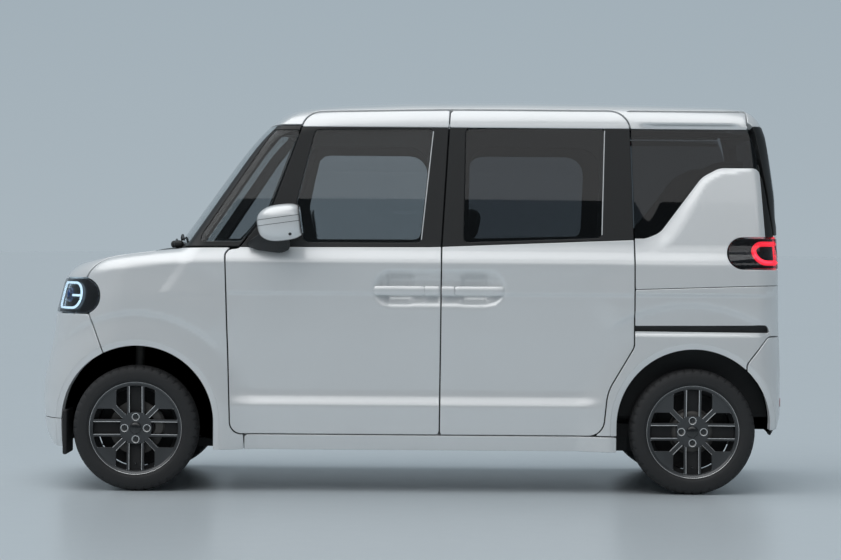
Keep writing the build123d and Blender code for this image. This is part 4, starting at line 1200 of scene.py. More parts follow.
    def quarters(self) -> None:
        """Builds the rear quarter panels, their panes and the slot of the sliding door's rail."""
        s, c, l = self.s, self.s.seam, self.lines
        patch = Patch(Ray.TAIL_DRUM, (0.6, 2.05), (0.18, 1.74), (0.021, 0.0135), s.tail_axis)
        seam_z = Profile(((0.9, 0.916), (1.0, 0.918), (1.55, 0.937), (1.9, 0.945)), 0.02)
        gate = either(l.gate.beyond(c), ahead(s.gate_x, c))
        front = (behind(0.8), l.slide_door.beyond(c))
        free = (
            *front, l.sill.beyond(c), l.rear_bumper.beyond(c), over(s.sill_z), gate, l.tail_lamp.beyond(c),
            under(s.roof_shut_z, c),
        )
        window = l.quarter_window
        low = self.lipped(patch, (*free, under(seam_z, c / 2), l.slot.beyond()))
        high = self.skin.panel(
            patch, (*free, over(seam_z, c / 2), under(self.rail_z), window.beyond()), self.skin_t
        )
        rail = self.skin.panel(patch, (*free, over(self.rail_z), window.beyond()), self.skin_t)
        glass = window.within(0.0015)
        pane = self.skin.panel(
            replace(patch, inset=0.002), (*front, gate, glass, ahead(self.post_x, c / 2)), 0.005, 0.0015
        )
        post = self.skin.panel(patch, (*free, glass, behind(self.post_x, c / 2)), self.skin_t)
        deep = replace(patch, u=(0.5, 2.0), v=(0.7, 0.78), step=(0.024, 0.01), inset=0.016)
        track = self.skin.panel(deep, (l.slot.within(-0.012),), 0.02)
        self.pairs(
            ("quarter_low_{}", low, PAINTS.body, "body", "paint", "body_side_{}"),
            ("quarter_high_{}", high.plus(rail), PAINTS.body, "body", "paint"),
            ("quarter_pane_{}", pane, PAINTS.privacy, "body", "glass", "quarter_glass"),
            ("slide_track_{}", track, PAINTS.plastic, "body", "black_plastic"),
            ("rear_pillar_{}", post, PAINTS.satin, "body", "black_gloss"),
        )

    def sills(self) -> None:
        """Builds the sills below the doors."""
        s, c, l = self.s, self.s.seam, self.lines
        patch = Patch(Ray.SIDE, (-0.78, 0.96), (0.17, 0.27), (0.026, 0.008))
        sill = self.skin.panel(patch, (l.sill.within(c), over(s.sill_z), s.off_arches()), 0.04)
        self.pairs(("sill_{}", sill, PAINTS.body, "body", "paint"))

    def rear_bumper(self) -> None:
        """Builds the rear bumper."""
        s, c, l = self.s, self.s.seam, self.lines
        patch = Patch(Ray.TAIL_DRUM, (-1.4, 1.4), (0.24, 0.72), (0.021, 0.016), s.tail_axis)
        shape = (l.rear_bumper.within(c), l.gate.beyond(c))
        skin = self.lipped(patch, (*shape, over(0.29)))
        inner = (*shape, s.off_arches(0.008), over(0.262), under(0.315))
        valance = self.skin.panel(replace(patch, inset=0.012), inner, 0.012)
        self.place("rear_bumper_skin", skin, PAINTS.body, "body", "paint", "rear_bumper")
        self.place("rear_valance", valance, PAINTS.plastic, "body", "black_plastic")

    def build(self) -> None:
        """Builds every fixed panel."""
        self.fenders()
        self.front_bumper()
        self.pillars()
        self.windshield()
        self.roof()
        self.quarters()
        self.sills()
        self.rear_bumper()


class Closures(BodyPanels):
    """The hood, the doors and the tailgate."""

    door_t: float = 0.052
    gate_t: float = 0.045
    gate_belt: float = 1.165
    gate_head: float = 1.655

    def hood(self) -> None:
        """Builds the hood."""
        s, c = self.s, self.s.seam
        patch = Patch(Ray.HOOD, (0.85, 2.75), (-0.66, 0.66), (0.024, 0.022), (-1.3, 0.7))
        fields = (inboard(s.hood_half, c), ahead(s.hood_rear, c), over(s.lamp_top, c))
        skin = self.skin.panel(patch, fields, self.skin_t)
        self.place("hood_skin", skin, PAINTS.body, "hood", "paint", "hood")

    def door(
        self, outline: Outline, window: Outline, inside: Outline, span: tuple[float, float]
    ) -> tuple[Surface, Surface, Surface, Surface]:
        """The parts of a side door, for the left.

        Args:
            outline: The door's outline.
            window: Its window's outline.
            inside: The window's outline in the inner trim.
            span: Its extent along X.

        Returns:
            Painted panel, black window frame, pane and inner trim.
        """
        s, c, l = self.s, self.s.seam, self.lines
        patch = Patch(Ray.SIDE, span, (0.25, 1.735), (0.0145, 0.0145))
        shape = outline.within(c)
        belt, head = (l.belt, self.joint), (s.glass_top_z, self.joint)
        low = self.skin.panel(patch, (shape, under(*belt)), self.door_t)
        rail = self.skin.panel(patch, (shape, over(*head)), self.door_t)
        sash = self.skin.panel(patch, (shape, over(*belt), under(*head), window.beyond()), self.door_t)
        inner = replace(patch, step=(0.024, 0.024), inset=self.pane_inset)
        pane = self.skin.panel(inner, (window.within(0.001),), self.pane_t, self.pane_edge)
        deep = replace(patch, step=(0.03, 0.03), inset=self.door_t + 0.002)
        trim = self.skin.panel(deep, (outline.within(0.03), inside.beyond()), 0.01)
        return low.plus(rail), sash, pane, trim

    def doors(self) -> None:
        """Builds the hinged and the sliding doors."""
        l = self.lines
        panel, sash, pane, trim = self.door(l.front_door, l.front_window, l.front_inner, (-0.86, 0.2))
        slide = self.door(l.slide_door, l.rear_window, l.rear_inner, (0.1, 1.02))
        body = "front_door_{}"
        self.pairs(
            ("front_door_skin_{}", panel, PAINTS.body, body, "paint", body),
            ("front_door_sash_{}", sash, PAINTS.satin, body, "black_gloss"),
            ("front_door_pane_{}", pane, PAINTS.clear, body, "clear_glass", "front_door_glass_{}"),
            ("front_door_trim_{}", trim, PAINTS.plastic, body, "black_plastic"),
            ("slide_door_skin_{}", slide[0], PAINTS.body, "body", "paint", "sliding_door_{}"),
            ("slide_door_sash_{}", slide[1], PAINTS.satin, "body", "black_gloss"),
            ("slide_door_pane_{}", slide[2], PAINTS.tint, "body", "glass", "sliding_door_glass"),
            ("slide_door_trim_{}", slide[3], PAINTS.plastic, "body", "black_plastic"),
        )

    def tailgate(self) -> None:
        """Builds the tailgate with its glass."""
        s, c, l = self.s, self.s.seam, self.lines
        patch = Patch(Ray.REAR, (-0.66, 0.66), (0.51, 1.78), (0.017, 0.017))
        shape = (l.gate.within(c), behind(s.gate_x, c))
        belt, head = (self.gate_belt, self.joint), (self.gate_head, self.joint)
        low = self.skin.panel(patch, (*shape, under(*belt), folded(l.gate_lamp.beyond(c))), self.gate_t)
        framed = (*shape, over(*belt), under(*head), l.gate_window.beyond())
        frame_part = self.skin.panel(patch, framed, self.gate_t)
        top = Patch(Ray.HOOD, (0.0, 1.6), (-0.62, 0.62), (0.024, 0.022), (1.45, 1.55))
        spoiler = self.skin.panel(top, (behind(s.gate_x, c), over(*head), l.gate.within(c)), 0.03)
        inner = replace(patch, v=(1.15, 1.66), step=(0.026, 0.026), inset=self.pane_inset)
        pane = self.skin.panel(inner, (l.gate_window.within(0.001),), self.pane_t, self.pane_edge)
        self.place("tailgate_skin", low, PAINTS.body, "tailgate", "paint", "tailgate")
        self.place("tailgate_frame", frame_part, PAINTS.satin, "tailgate", "black_gloss")
        self.place("tailgate_spoiler", spoiler, PAINTS.body, "tailgate", "paint")
        self.place("tailgate_pane", pane, PAINTS.privacy, "tailgate", "glass", "tailgate_glass")

    def build(self) -> None:
        """Builds every closing panel."""
        self.hood()
        self.doors()
        self.tailgate()


# Turned, swept and carved shapes


def shaded(points: Array, faces: Array, sharp: float = 35.0) -> Surface:
    """A surface with smooth shading, split at sharp edges.

    Args:
        points: The mesh's points.
        faces: Its triangles.
        sharp: The angle above which an edge stays sharp, in degrees.

    Returns:
        The surface with its own shading directions.
    """
    points, faces = np.asarray(points, float), np.asarray(faces, int)
    a, b, c = (points[faces[:, i]] for i in range(3))
    flat = np.cross(b - a, c - a)
    area = np.linalg.norm(flat, axis=1)
    faces, flat, area = faces[area > 1e-13], flat[area > 1e-13], area[area > 1e-13]
    unit = flat / area[:, None]
    corner = faces.ravel()
    owner = np.repeat(np.arange(len(faces)), 3)
    order = np.argsort(corner, kind="stable")
    starts = np.searchsorted(corner[order], np.arange(len(points) + 1))
    limit = math.cos(math.radians(sharp))
    normals = np.empty((len(corner), 3))
    for v in np.unique(corner):
        mine = order[starts[v] : starts[v + 1]]
        u, w = unit[owner[mine]], flat[owner[mine]]
        near = (u @ u.T) > limit
        n = near.astype(float) @ w
        normals[mine] = n / np.maximum(np.linalg.norm(n, axis=1, keepdims=True), 1e-12)
    key = np.concatenate([corner[:, None], np.round(normals * 500)], axis=1)
    _, first, back = np.unique(key, axis=0, return_index=True, return_inverse=True)
    return Surface(points[corner[first]], back.reshape(-1, 3), normals[first])


def strip(rows: Sequence[Array], closed: bool = True, capped: bool = False) -> tuple[Array, Array]:
    """Joins rows of points into a sheet or a tube.

    Args:
        rows: Rows with the same number of points.
        closed: True to join each row's last point to its first.
        capped: True to close the first and last rows.

    Returns:
        Points and triangles.
    """
    grid = np.array(rows)
    n, m = grid.shape[:2]
    at = np.arange(n * m).reshape(n, m)
    nxt = np.roll(at, -1, axis=1) if closed else at[:, 1:]
    cur = at if closed else at[:, :-1]
    a, b, c, d = cur[:-1].ravel(), nxt[:-1].ravel(), nxt[1:].ravel(), cur[1:].ravel()
    faces = [np.stack([a, b, c], 1), np.stack([a, c, d], 1)]
    points = grid.reshape(-1, 3)
    if capped:
        points = np.concatenate([points, grid[0].mean(0)[None], grid[-1].mean(0)[None]])
        first, last = n * m, n * m + 1
        faces.append(np.stack([nxt[0], cur[0], np.full(len(cur[0]), first)], 1))
        faces.append(np.stack([cur[-1], nxt[-1], np.full(len(cur[-1]), last)], 1))
    return points, np.concatenate(faces)


def turned(
    profile: Sequence[tuple[float, float]], segments: int = 96, foot: tuple[float, float] = (0.0, 0.0)
) -> Surface:
    """A closed profile turned about the Y axis.

    Args:
        profile: Radius and place along Y of each point, in order.
        segments: The number of steps round the axis.
        foot: What is added to every radius and place.

    Returns:
        The turned surface.
    """
    spin = np.linspace(0, 2 * math.pi, segments, endpoint=False)
    r, y = (np.array(profile, float) + foot).T
    rows = [np.stack([r * math.sin(s), y, r * math.cos(s)], 1) for s in spin]
    rows.append(rows[0])
    points, faces = strip(rows)
    return shaded(points, faces)


def tube(
    path: Array, radius: float | Sequence[float], around: int = 10, loop: bool = False, flat: float = 1.0
) -> Surface:
    """A round or oval rod along a path.

    Args:
        path: The middle line.
        radius: One radius, or one for each point of the path.
        around: The number of steps round the rod.
        loop: True if the path closes on itself.
        flat: The rod's height as a share of its width.

    Returns:
        The rod's surface.
    """
    path = np.asarray(path, float)
    size = np.broadcast_to(np.asarray(radius, float), len(path))
    way = np.gradient(path, axis=0) if not loop else np.roll(path, -1, 0) - np.roll(path, 1, 0)
    way /= np.maximum(np.linalg.norm(way, axis=1, keepdims=True), 1e-12)
    up = np.tile(np.array([0.03, 0.02, 1.0]), (len(path), 1))
    up[np.abs(way[:, 2]) > 0.93] = (1.0, 0.02, 0.03)
    side = np.cross(way, up)
    side /= np.linalg.norm(side, axis=1, keepdims=True)
    top = np.cross(side, way)
    turn = np.linspace(0, 2 * math.pi, around, endpoint=False)
    rows = [
        path[i] + size[i] * (np.cos(turn)[:, None] * side[i] + flat * np.sin(turn)[:, None] * top[i])
        for i in range(len(path))
    ]
    points, faces = strip([*rows, rows[0]] if loop else rows, True, not loop)
    return shaded(points, faces, 50)


def rod(start: Sequence[float], end: Sequence[float], radius: float, around: int = 12) -> Surface:
    """A straight rod between two points."""
    return tube(np.array([start, end]), radius, around)


def blob(
    centre: Sequence[float], half: Sequence[float], power: float = 3.0, rings: int = 28, around: int = 48
) -> Surface:
    """A rounded box.

    Args:
        centre: Its middle.
        half: Half its size along each axis.
        power: 2 for an ellipsoid, higher for a squarer box.
        rings: Steps from end to end.
        around: Steps round it.

    Returns:
        The rounded box's surface.
    """
    lat = np.linspace(-math.pi / 2, math.pi / 2, rings)
    lon = np.linspace(0, 2 * math.pi, around, endpoint=False)
    rows = []
    for a in lat:
        ring = np.stack([np.cos(a) * np.cos(lon), np.cos(a) * np.sin(lon), np.full(around, np.sin(a))], 1)
        scale = (np.abs(ring) ** power).sum(1) ** (-1 / power)
        rows.append(np.array(centre) + ring * scale[:, None] * np.array(half))
    points, faces = strip(rows)
    return shaded(points, faces, 60)


def plate(outline: Array, low: float, high: float, axis: int = 1, edge: float = 0.002) -> Surface:
    """A flat plate with softened edges.

    Args:
        outline: The plate's outline, in the two other axes.
        low: Its start along the axis.
        high: Its end along the axis.
        axis: The axis that it is flat across.
        edge: The width of the softened edge.

    Returns:
        The plate's surface.
    """
    loop = np.asarray(outline, float)
    middle = loop.mean(0)
    reach = np.maximum(np.linalg.norm(loop - middle, axis=1, keepdims=True), 1e-9)
    inner = loop + (middle - loop) * edge / reach
    rows = []
    for shape, depth in ((inner, low), (loop, low + edge), (loop, high - edge), (inner, high)):
        rows.append(np.insert(shape, axis, depth, axis=1))
    points, faces = strip(rows, True, True)
    a, b, c = (points[faces[:, i]] for i in range(3))
    outward = ((a - points.mean(0)) * np.cross(b - a, c - a)).sum()
    return shaded(points, faces if outward > 0 else faces[:, ::-1], 30)


def moved(shape: Surface, by: Sequence[float], turn: Matrix | None = None) -> Surface:
    """A surface turned about the origin, if a turn is given, and then moved."""
    spin = np.eye(3) if turn is None else np.array(turn.to_3x3())
    return Surface(shape.points @ spin.T + np.array(by), shape.faces, shape.normals @ spin.T)


def joined(parts: Sequence[Surface]) -> Surface:
    """Several surfaces as one."""
    return parts[0].plus(*parts[1:])


# Wheels


class DishForm:
    """The dished outer face of a wheel, open towards -Y."""

    def __init__(self, hub: float, rim: float, radius: float) -> None:
        """Keeps the depth of the hub and of the rim.

        Args:
            hub: The face's place along Y at the hub.
            rim: Its place at the rim.
            radius: The rim's radius.
        """
        self.hub, self.rim, self.radius = hub, rim, radius

    def height(self, p: Array) -> Array:
        """The face's place along Y at points in front of it."""
        r = np.hypot(p[:, 0], p[:, 2]) / self.radius
        return self.hub + (self.rim - self.hub) * ease(0.25, 1.0, r)

    def meet(self, start: Array, way: Array, inset: float) -> Array:
        """Where rays along Y meet the face, or a copy of it inset behind it."""
        found = start.copy()
        found[:, 1] = self.height(start) + inset
        return found

    def on_it(self, p: Array, inset: float) -> Array:
        """Every ray meets the face."""
        return np.ones(len(p), bool)

    def normals(self, p: Array) -> Array:
        """The outward directions of the face."""
        step = 0.001
        rise = [self.height(p - step * a) - self.height(p + step * a) for a in np.eye(3)]
        n = np.stack(rise, 1) / (2 * step)
        n[:, 1] = 1
        n = -n / np.linalg.norm(n, axis=1, keepdims=True)
        return n


@dataclass
class Wheels(Assembly):
    """The four wheels with their tyres and brakes."""

    s: CarSizes
    skin: Skinner
    track: float = 0.65
    rim_r: float = 0.197
    face_y: float = -0.05
    bar_at: float = 0.033
    bar_half: float = 0.0058
    plate_at: float = 0.086
    # Width of the bright strips that paint the highlights along the spoke edges
    bright_w: float = 0.0026
    lug_at: float = 0.05

    def solid(self, p: Array) -> Array:
        """How far points lie outside the face's spokes.

        Args:
            p: Points of the face, about the wheel's middle.

        Returns:
            The signed distances.
        """
        x, z = np.abs(p[:, 0]), np.abs(p[:, 2])
        r = np.hypot(x, z)
        bars = np.minimum(np.abs(x - self.bar_at), np.abs(z - self.bar_at)) - self.bar_half
        corner = np.maximum(self.plate_at - x, self.plate_at - z)
        arm = np.maximum(np.abs(x - z) / math.sqrt(2) - 0.0115, 0.05 - r)
        return np.minimum.reduce([bars, corner, arm, r - 0.072, self.rim_r - 0.006 - r])

    def face(self) -> tuple[Surface, Surface, Surface]:
        """The spoked face.

        Returns:
            The dark face, its painted edge highlights and the webs between the bars, dark as painted shade.
        """
        cutter = Skinner(DishForm(self.face_y - 0.004, self.face_y - 0.014, self.rim_r))
        size = self.rim_r - 0.0015
        patch = Patch(Ray.SIDE, (-size, size), (-size, size), (0.0064, 0.0064))
        far: Field = lambda p: np.hypot(p[:, 0], p[:, 2])
        disc: Field = lambda p: far(p) - size
        bore: Field = lambda p: 0.026 - far(p)
        lugs: Field = lambda p: 0.015 - np.minimum(
            np.hypot(np.abs(p[:, 0]) - self.lug_at, p[:, 2]), np.hypot(p[:, 0], np.abs(p[:, 2]) - self.lug_at)
        )
        dark = cutter.panel(patch, (disc, self.solid, bore, lugs), 0.02, 0.0014)
        # Bright strips along the edges of the spokes, painted highlights where the bevels catch the light
        edges: Field = lambda p: np.maximum(self.solid(p), -self.solid(p) - self.bright_w)
        clear: Field = lambda p: np.maximum(far(p) - self.rim_r + 0.007, 0.074 - far(p))
        above = replace(patch, step=(0.0026, 0.0026), inset=-0.001)
        bright = cutter.panel(above, (clear, edges), 0.002, 0.0004)
        # The webs between each pair of bars sit deep and take a near-black coat, painted shade between the
        # bars
        shade_mask: Field = lambda p: np.maximum(
            np.minimum(np.abs(p[:, 0]), np.abs(p[:, 2])) - self.bar_at, far(p) - self.rim_r + 0.006
        )
        behind_bars = replace(patch, step=(0.016, 0.016), inset=0.026)
        shade_web = cutter.panel(behind_bars, (shade_mask, lambda p: 0.06 - far(p)), 0.006, 0.001)
        return dark, bright, shade_web

    def barrel(self) -> Surface:
        """The rim's barrel with its flanges."""
        return turned((
            (-0.003, -0.012), (0.004, -0.0185), (0.01, -0.0195), (0.012, -0.017), (0.011, -0.012),
            (0.002, -0.008),
            (0, 0.01), (-0.016, 0.03), (-0.016, 0.06), (0, 0.085), (0.002, 0.112), (0.011, 0.116),
            (0.01, 0.121),
            (0.002, 0.12), (-0.004, 0.1), (-0.022, 0.062), (-0.022, 0.028), (-0.007, 0.008),
        ), foot=(self.rim_r, self.face_y))

    def tyre(self) -> Surface:
        """The tyre with grooves, shoulder blocks and sidewall rings."""
        half: list[tuple[float, float]] = [
            (self.rim_r + 0.0005, 0.062), (0.208, 0.0655), (0.2098, 0.0735), (0.2135, 0.0758),
            (0.215, 0.0775),
            (0.22, 0.08), (0.2215, 0.0812), (0.234, 0.0824), (0.2355, 0.0818), (0.248, 0.0816),
            (0.25, 0.0806),
            (0.259, 0.079), (0.266, 0.0756), (0.271, 0.0712), (0.274, 0.0672), (0.2765, 0.062),
            (0.2785, 0.055),
            (0.2798, 0.047), (0.2803, 0.0415), (0.2745, 0.0405), (0.2745, 0.0335), (0.2806, 0.0325),
            (0.2808, 0.019), (0.281, 0.0125), (0.275, 0.0115), (0.275, 0.0045), (0.281, 0.0035),
        ]
        profile = [*half, *[(r, -w) for r, w in reversed(half)]]
        pitch, fine = 44, 5
        count = pitch * fine
        r, w = np.array(profile).T
        shoulder, rib = (np.abs(w) > 0.043) & (r > 0.262), np.abs(w) < 0.032
        block = np.where(shoulder, 0.0046, np.where(rib & (r > 0.279), 0.0026, 0.0))
        lean = np.where(w > 0, 0, fine // 2)
        rows = []
        for k in range(count + 1):
            cut = ((k + lean) % fine == 0) | (rib & ((k + lean) % (2 * fine) == 3))
            radius = r - block * cut
            turn = 2 * math.pi * (k % count) / count
            rows.append(np.stack([radius * math.sin(turn), -w, radius * math.cos(turn)], 1))
        points, faces = strip(rows, True)
        return shaded(points, faces[:, ::-1], 38)

    def nuts(self) -> tuple[Surface, Surface, Surface]:
        """The lug nuts, their bright pockets, and the plain cap with the valve."""
        y, at = self.face_y, self.lug_at
        pocket = turned((
            (0.01, 0.006), (0.0148, -0.0062), (0.0172, -0.0068), (0.0172, 0.001), (0.0148, 0.01),
        ), 40, (0, y))
        turns = np.linspace(0, 2 * math.pi, 6, endpoint=False)
        hexes = [(0.0108 * math.cos(a), 0.0108 * math.sin(a)) for a in turns]
        nut = plate(np.array(hexes), y - 0.005, y + 0.012, 1, 0.0015)
        cap = turned((
            (0.0005, -0.013), (0.012, -0.0126), (0.0215, -0.0105), (0.0245, -0.0078), (0.0262, -0.0076),
            (0.0268, -0.004), (0.0268, 0.014), (0.0005, 0.014),
        ), 56, (0, y))
        valve = turned((
            (0.0005, -0.004), (0.0032, -0.003), (0.0036, 0.01), (0.0046, 0.012), (0.0046, 0.04),
            (0.0005, 0.04),
        ), 20, (0, y))
        places = ((at, 0, 0), (-at, 0, 0), (0, 0, at), (0, 0, -at))
        nuts, pockets = (joined([moved(shape, place) for place in places]) for shape in (nut, pocket))
        return nuts, pockets, cap.plus(moved(valve, (0, 0, -0.16)))

    def brakes(self) -> tuple[Surface, Surface, Surface, Surface]:
        """The front disc, its caliper, the rear drum and a splash shield."""
        foot = (0, self.face_y)
        shield = turned((
            (0.04, 0.084), (0.16, 0.084), (0.172, 0.078), (0.1735, 0.079), (0.162, 0.0875), (0.04, 0.0875),
        ), foot=foot)
        disc = turned((
            (0.03, 0.014), (0.066, 0.014), (0.068, 0.034), (0.12, 0.034), (0.1212, 0.0352), (0.1212, 0.04),
            (0.118, 0.041), (0.118, 0.045), (0.1212, 0.046), (0.1212, 0.05), (0.12, 0.052), (0.06, 0.052),
            (0.03, 0.03),
        ), foot=foot)
        drum = turned((
            (0.03, 0.012), (0.078, 0.013), (0.09, 0.018), (0.098, 0.026), (0.1005, 0.05), (0.106, 0.052),
            (0.106, 0.056), (0.1005, 0.058), (0.1005, 0.066), (0.03, 0.066),
        ), foot=foot)
        radius, y = np.array((
            (0.082, 0.018), (0.09, 0.01), (0.122, 0.01), (0.133, 0.018), (0.133, 0.066), (0.122, 0.074),
            (0.082, 0.074),
        )).T
        grip = []
        for turn in np.linspace(-0.62, 0.62, 15):
            r = radius * (1 - 0.1 * (abs(turn) / 0.62) ** 4)
            grip.append(np.stack([r * math.cos(turn + 0.35), self.face_y + y, r * math.sin(turn + 0.35)], 1))
        points, faces = strip(grip, True, True)
        return disc, shaded(points, faces, 30), drum, shield

    def build(self) -> None:
        """Builds all four wheels."""
        dark, bright, shade_web = self.face()
        nuts, pockets, cap = self.nuts()
        disc, caliper, drum, shield = self.brakes()
        # A thin bright ring on the rim's lip, a painted highlight of the flange
        lip = ((0.0085, -0.0192), (0.0098, -0.0205), (0.0112, -0.0192), (0.0098, -0.017))
        ring = turned(lip, 120, (self.rim_r, self.face_y))
        parts = (
            ("tyre", self.tyre(), PAINTS.rubber, "tyre", "tyre"),
            ("rim_face", dark, PAINTS.alloy, "alloy", "rim"),
            # Near-black webs between the paired bars: painted shade
            ("rim_shade_webs", shade_web, PAINTS.under, "alloy"),
            ("rim_barrel", self.barrel(), PAINTS.alloy, "alloy"),
            # Edge strips and lip ring in the near-white finish are painted highlights; the pockets share that
            # finish
            ("rim_edge_highlights", bright.plus(pockets, ring), PAINTS.bright, "alloy"),
            ("lug_nuts", nuts, PAINTS.black, "steel"),
            ("hub_cap", cap, PAINTS.black, "black_gloss"),
        )
        for end, axle, brake, holder in (
            ("front_{}", self.s.front_axle, disc, "knuckle_{}"), ("rear_{}", self.s.rear_axle, drum, "body"),
        ):
            at = (axle, -self.track, self.s.hub_z)
            rows: list[Row] = []
            for name, shape, finish, slot, *nodes in parts:
                mine = [f"{node}_{end}" for node in nodes]
                rows.append((f"{name}_{end}_look", moved(shape, at), finish, f"wheel_{end}", slot, *mine))
            rows.append((f"brake_{end}", moved(brake, at), PAINTS.iron, f"wheel_{end}", "steel"))
            rows.append((f"splash_shield_{end}", moved(shield, at), PAINTS.under, holder, "steel"))
            if brake is disc:
                rows.append(("caliper_{}", moved(caliper, at), PAINTS.iron, holder, "iron"))
            self.pairs(*rows)


# Lamps, mirrors and other fittings


def folded(keep: Field) -> Field:
    """A field drawn for the left that serves both sides."""
    return lambda p: keep(np.stack([p[:, 0], -np.abs(p[:, 1]), p[:, 2]], 1))


class Fittings(BodyPanels):
    """Lamps, grille, plates, mirrors, handles, wipers and arch liners."""

    lens_t: float = 0.003
    lens_edge: float = 0.0015
    bed_step: tuple[float, float] = (0.022, 0.018)
    tail_z: tuple[float, float] = (1.013, 1.152)

    def on_skin(self, ray: Ray, axis: tuple[float, float], path: Array, inset: float) -> Array:
        """Points at a depth below the skin, from grid places of a scan about an axis."""
        patch = Patch(ray, (0, 1), (0, 1), axis=axis)
        return self.skin.form.meet(*patch.rays(np.asarray(path, float)), inset)

    @staticmethod
    def spaced(loop: Array, count: int, closed: bool = True) -> Array:
        """A path with evenly spaced points.

        Args:
            loop: The path.
            count: The number of points.
            closed: True if the path closes on itself.

        Returns:
            The new points.
        """
        run = np.concatenate([loop, loop[:1]]) if closed else loop
        length = np.concatenate([[0], np.cumsum(np.linalg.norm(np.diff(run, axis=0), axis=1))])
        at = np.linspace(0, length[-1], count, endpoint=not closed)
        return np.stack([np.interp(at, length, run[:, i]) for i in range(run.shape[1])], 1)

    def headlamps(self) -> None:
        """Builds the headlamps with their lit rings and lenses."""
        s, c, l = self.s, self.s.seam, self.lines
        axis = s.nose_axis
        scan = Patch(Ray.NOSE_DRUM, (0.4, 1.25), (s.lamp_low - 0.01, s.lamp_top + 0.01), (0.014, 0.011), axis)
        shape = (l.lamp.within(c), outboard(s.lamp_half, c))
        lens = self.skin.panel(scan, shape, self.lens_t, self.lens_edge)
        bed = self.skin.panel(replace(scan, step=self.bed_step, inset=0.022), shape, 0.03, 0.002)
        arc = np.array([0.8, 1.0])
        corners = ((0.535, 0.816, 0.045), (0.735, 0.816, 0.052), (0.735, 0.929, 0.052), (0.535, 0.929, 0.045))
        ring = self.spaced(Outline.rounded(corners), 90) / arc
        line = self.on_skin(Ray.NOSE_DRUM, axis, ring, 0.012)
        bar_path = np.stack([np.linspace(0.672, 0.735, 10), np.full(10, 0.8725)], 1) / arc
        bar = self.on_skin(Ray.NOSE_DRUM, axis, bar_path, 0.012)
        glow = tube(line, 0.0052, 10, True).plus(tube(bar, 0.0052, 10))
        eye_at = self.on_skin(Ray.NOSE_DRUM, axis, np.array([[0.635 / 0.8, 0.8725]]), 0.026)[0]
        eye = blob(eye_at, (0.024, 0.034, 0.034), 2.2, 20, 36)
        ribs = []
        for h in np.linspace(0.815, 0.93, 12):
            row = np.stack([np.linspace(0.775, 0.93, 14), np.full(14, h)], 1) / arc
            ribs.append(tube(self.on_skin(Ray.NOSE_DRUM, axis, row, 0.019), 0.0016, 6))
        self.pairs(
            ("headlamp_lens_{}", lens, PAINTS.smoke, "body", "headlamp", "headlamps"),
            ("headlamp_bed_{}", bed.plus(*ribs), PAINTS.black, "body", "headlamp"),
            ("headlamp_ring_{}", glow, PAINTS.ice, "body", "headlamp"),
            ("headlamp_eye_{}", eye, PAINTS.eye, "body", "headlamp"),
        )

    def grille(self) -> None:
        """Builds the panel between the headlamps with its slats."""
        s, c = self.s, self.s.seam
        z = (s.lamp_low - 0.01, s.lamp_top + 0.01)
        fields = (inboard(s.lamp_half), over(s.lamp_low, c), under(s.lamp_top, c))
        scan = Patch(Ray.NOSE_DRUM, (-0.65, 0.65), z, self.bed_step, s.nose_axis, 0.008)
        slats = []
        for h in np.linspace(0.822, 0.922, 5):
            row = np.stack([np.linspace(-0.5, 0.5, 40), np.full(40, h)], 1)
            slats.append(tube(self.on_skin(Ray.NOSE_DRUM, s.nose_axis, row, 0.006), 0.005, 10))
        panel = self.skin.panel(scan, fields, 0.02)
        self.place("grille_panel", panel, PAINTS.black, "body", "black_gloss", "front_grille")
        self.place("grille_slats", joined(slats), PAINTS.plastic, "body", "black_plastic")

    def tail_lamps(self) -> None:
        """Builds the tail lamps, part on the body and part on the tailgate."""
        s, c, l = self.s, self.s.seam, self.lines
        z = (self.tail_z[0] - 0.01, self.tail_z[1] + 0.01)
        scan = Patch(Ray.TAIL_DRUM, (0.45, 1.45), z, (0.016, 0.012), s.tail_axis)
        corners = rect((0.64, 1.04), (0.866, 1.125), 0.042)
        ring = self.spaced(Outline.rounded(corners), 120) / np.array([0.775, 1.0])
        line = self.on_skin(Ray.TAIL_DRUM, s.tail_axis, ring, 0.015)
        outer = np.abs(line[:, 1]) > s.gate_half + 0.003
        start = int(np.argmax(outer & ~np.roll(outer, 1)))
        line, outer = np.roll(line, -start, 0), np.roll(outer, -start)
        for body, path, nodes, shape in (
            ("body", line[outer], ("tail_lamps",), (l.tail_lamp.within(c), outboard(s.gate_half, c))),
            ("tailgate", line[~outer][2:-2], (), (folded(l.gate_lamp.within(c)), inboard(s.gate_half, c))),
        ):
            lens = self.skin.panel(scan, shape, self.lens_t, self.lens_edge)
            bed = self.skin.panel(replace(scan, step=self.bed_step, inset=0.02), shape, 0.014, 0.002)
            self.pairs(
                (f"tail_lens_{body}_{{}}", lens, PAINTS.smoke, body, "tail_lamp", *nodes),
                (f"tail_bed_{body}_{{}}", bed, PAINTS.black, body, "tail_lamp"),
                (f"tail_ring_{body}_{{}}", tube(path, 0.0115, 14), PAINTS.red, body, "tail_lamp"),
            )

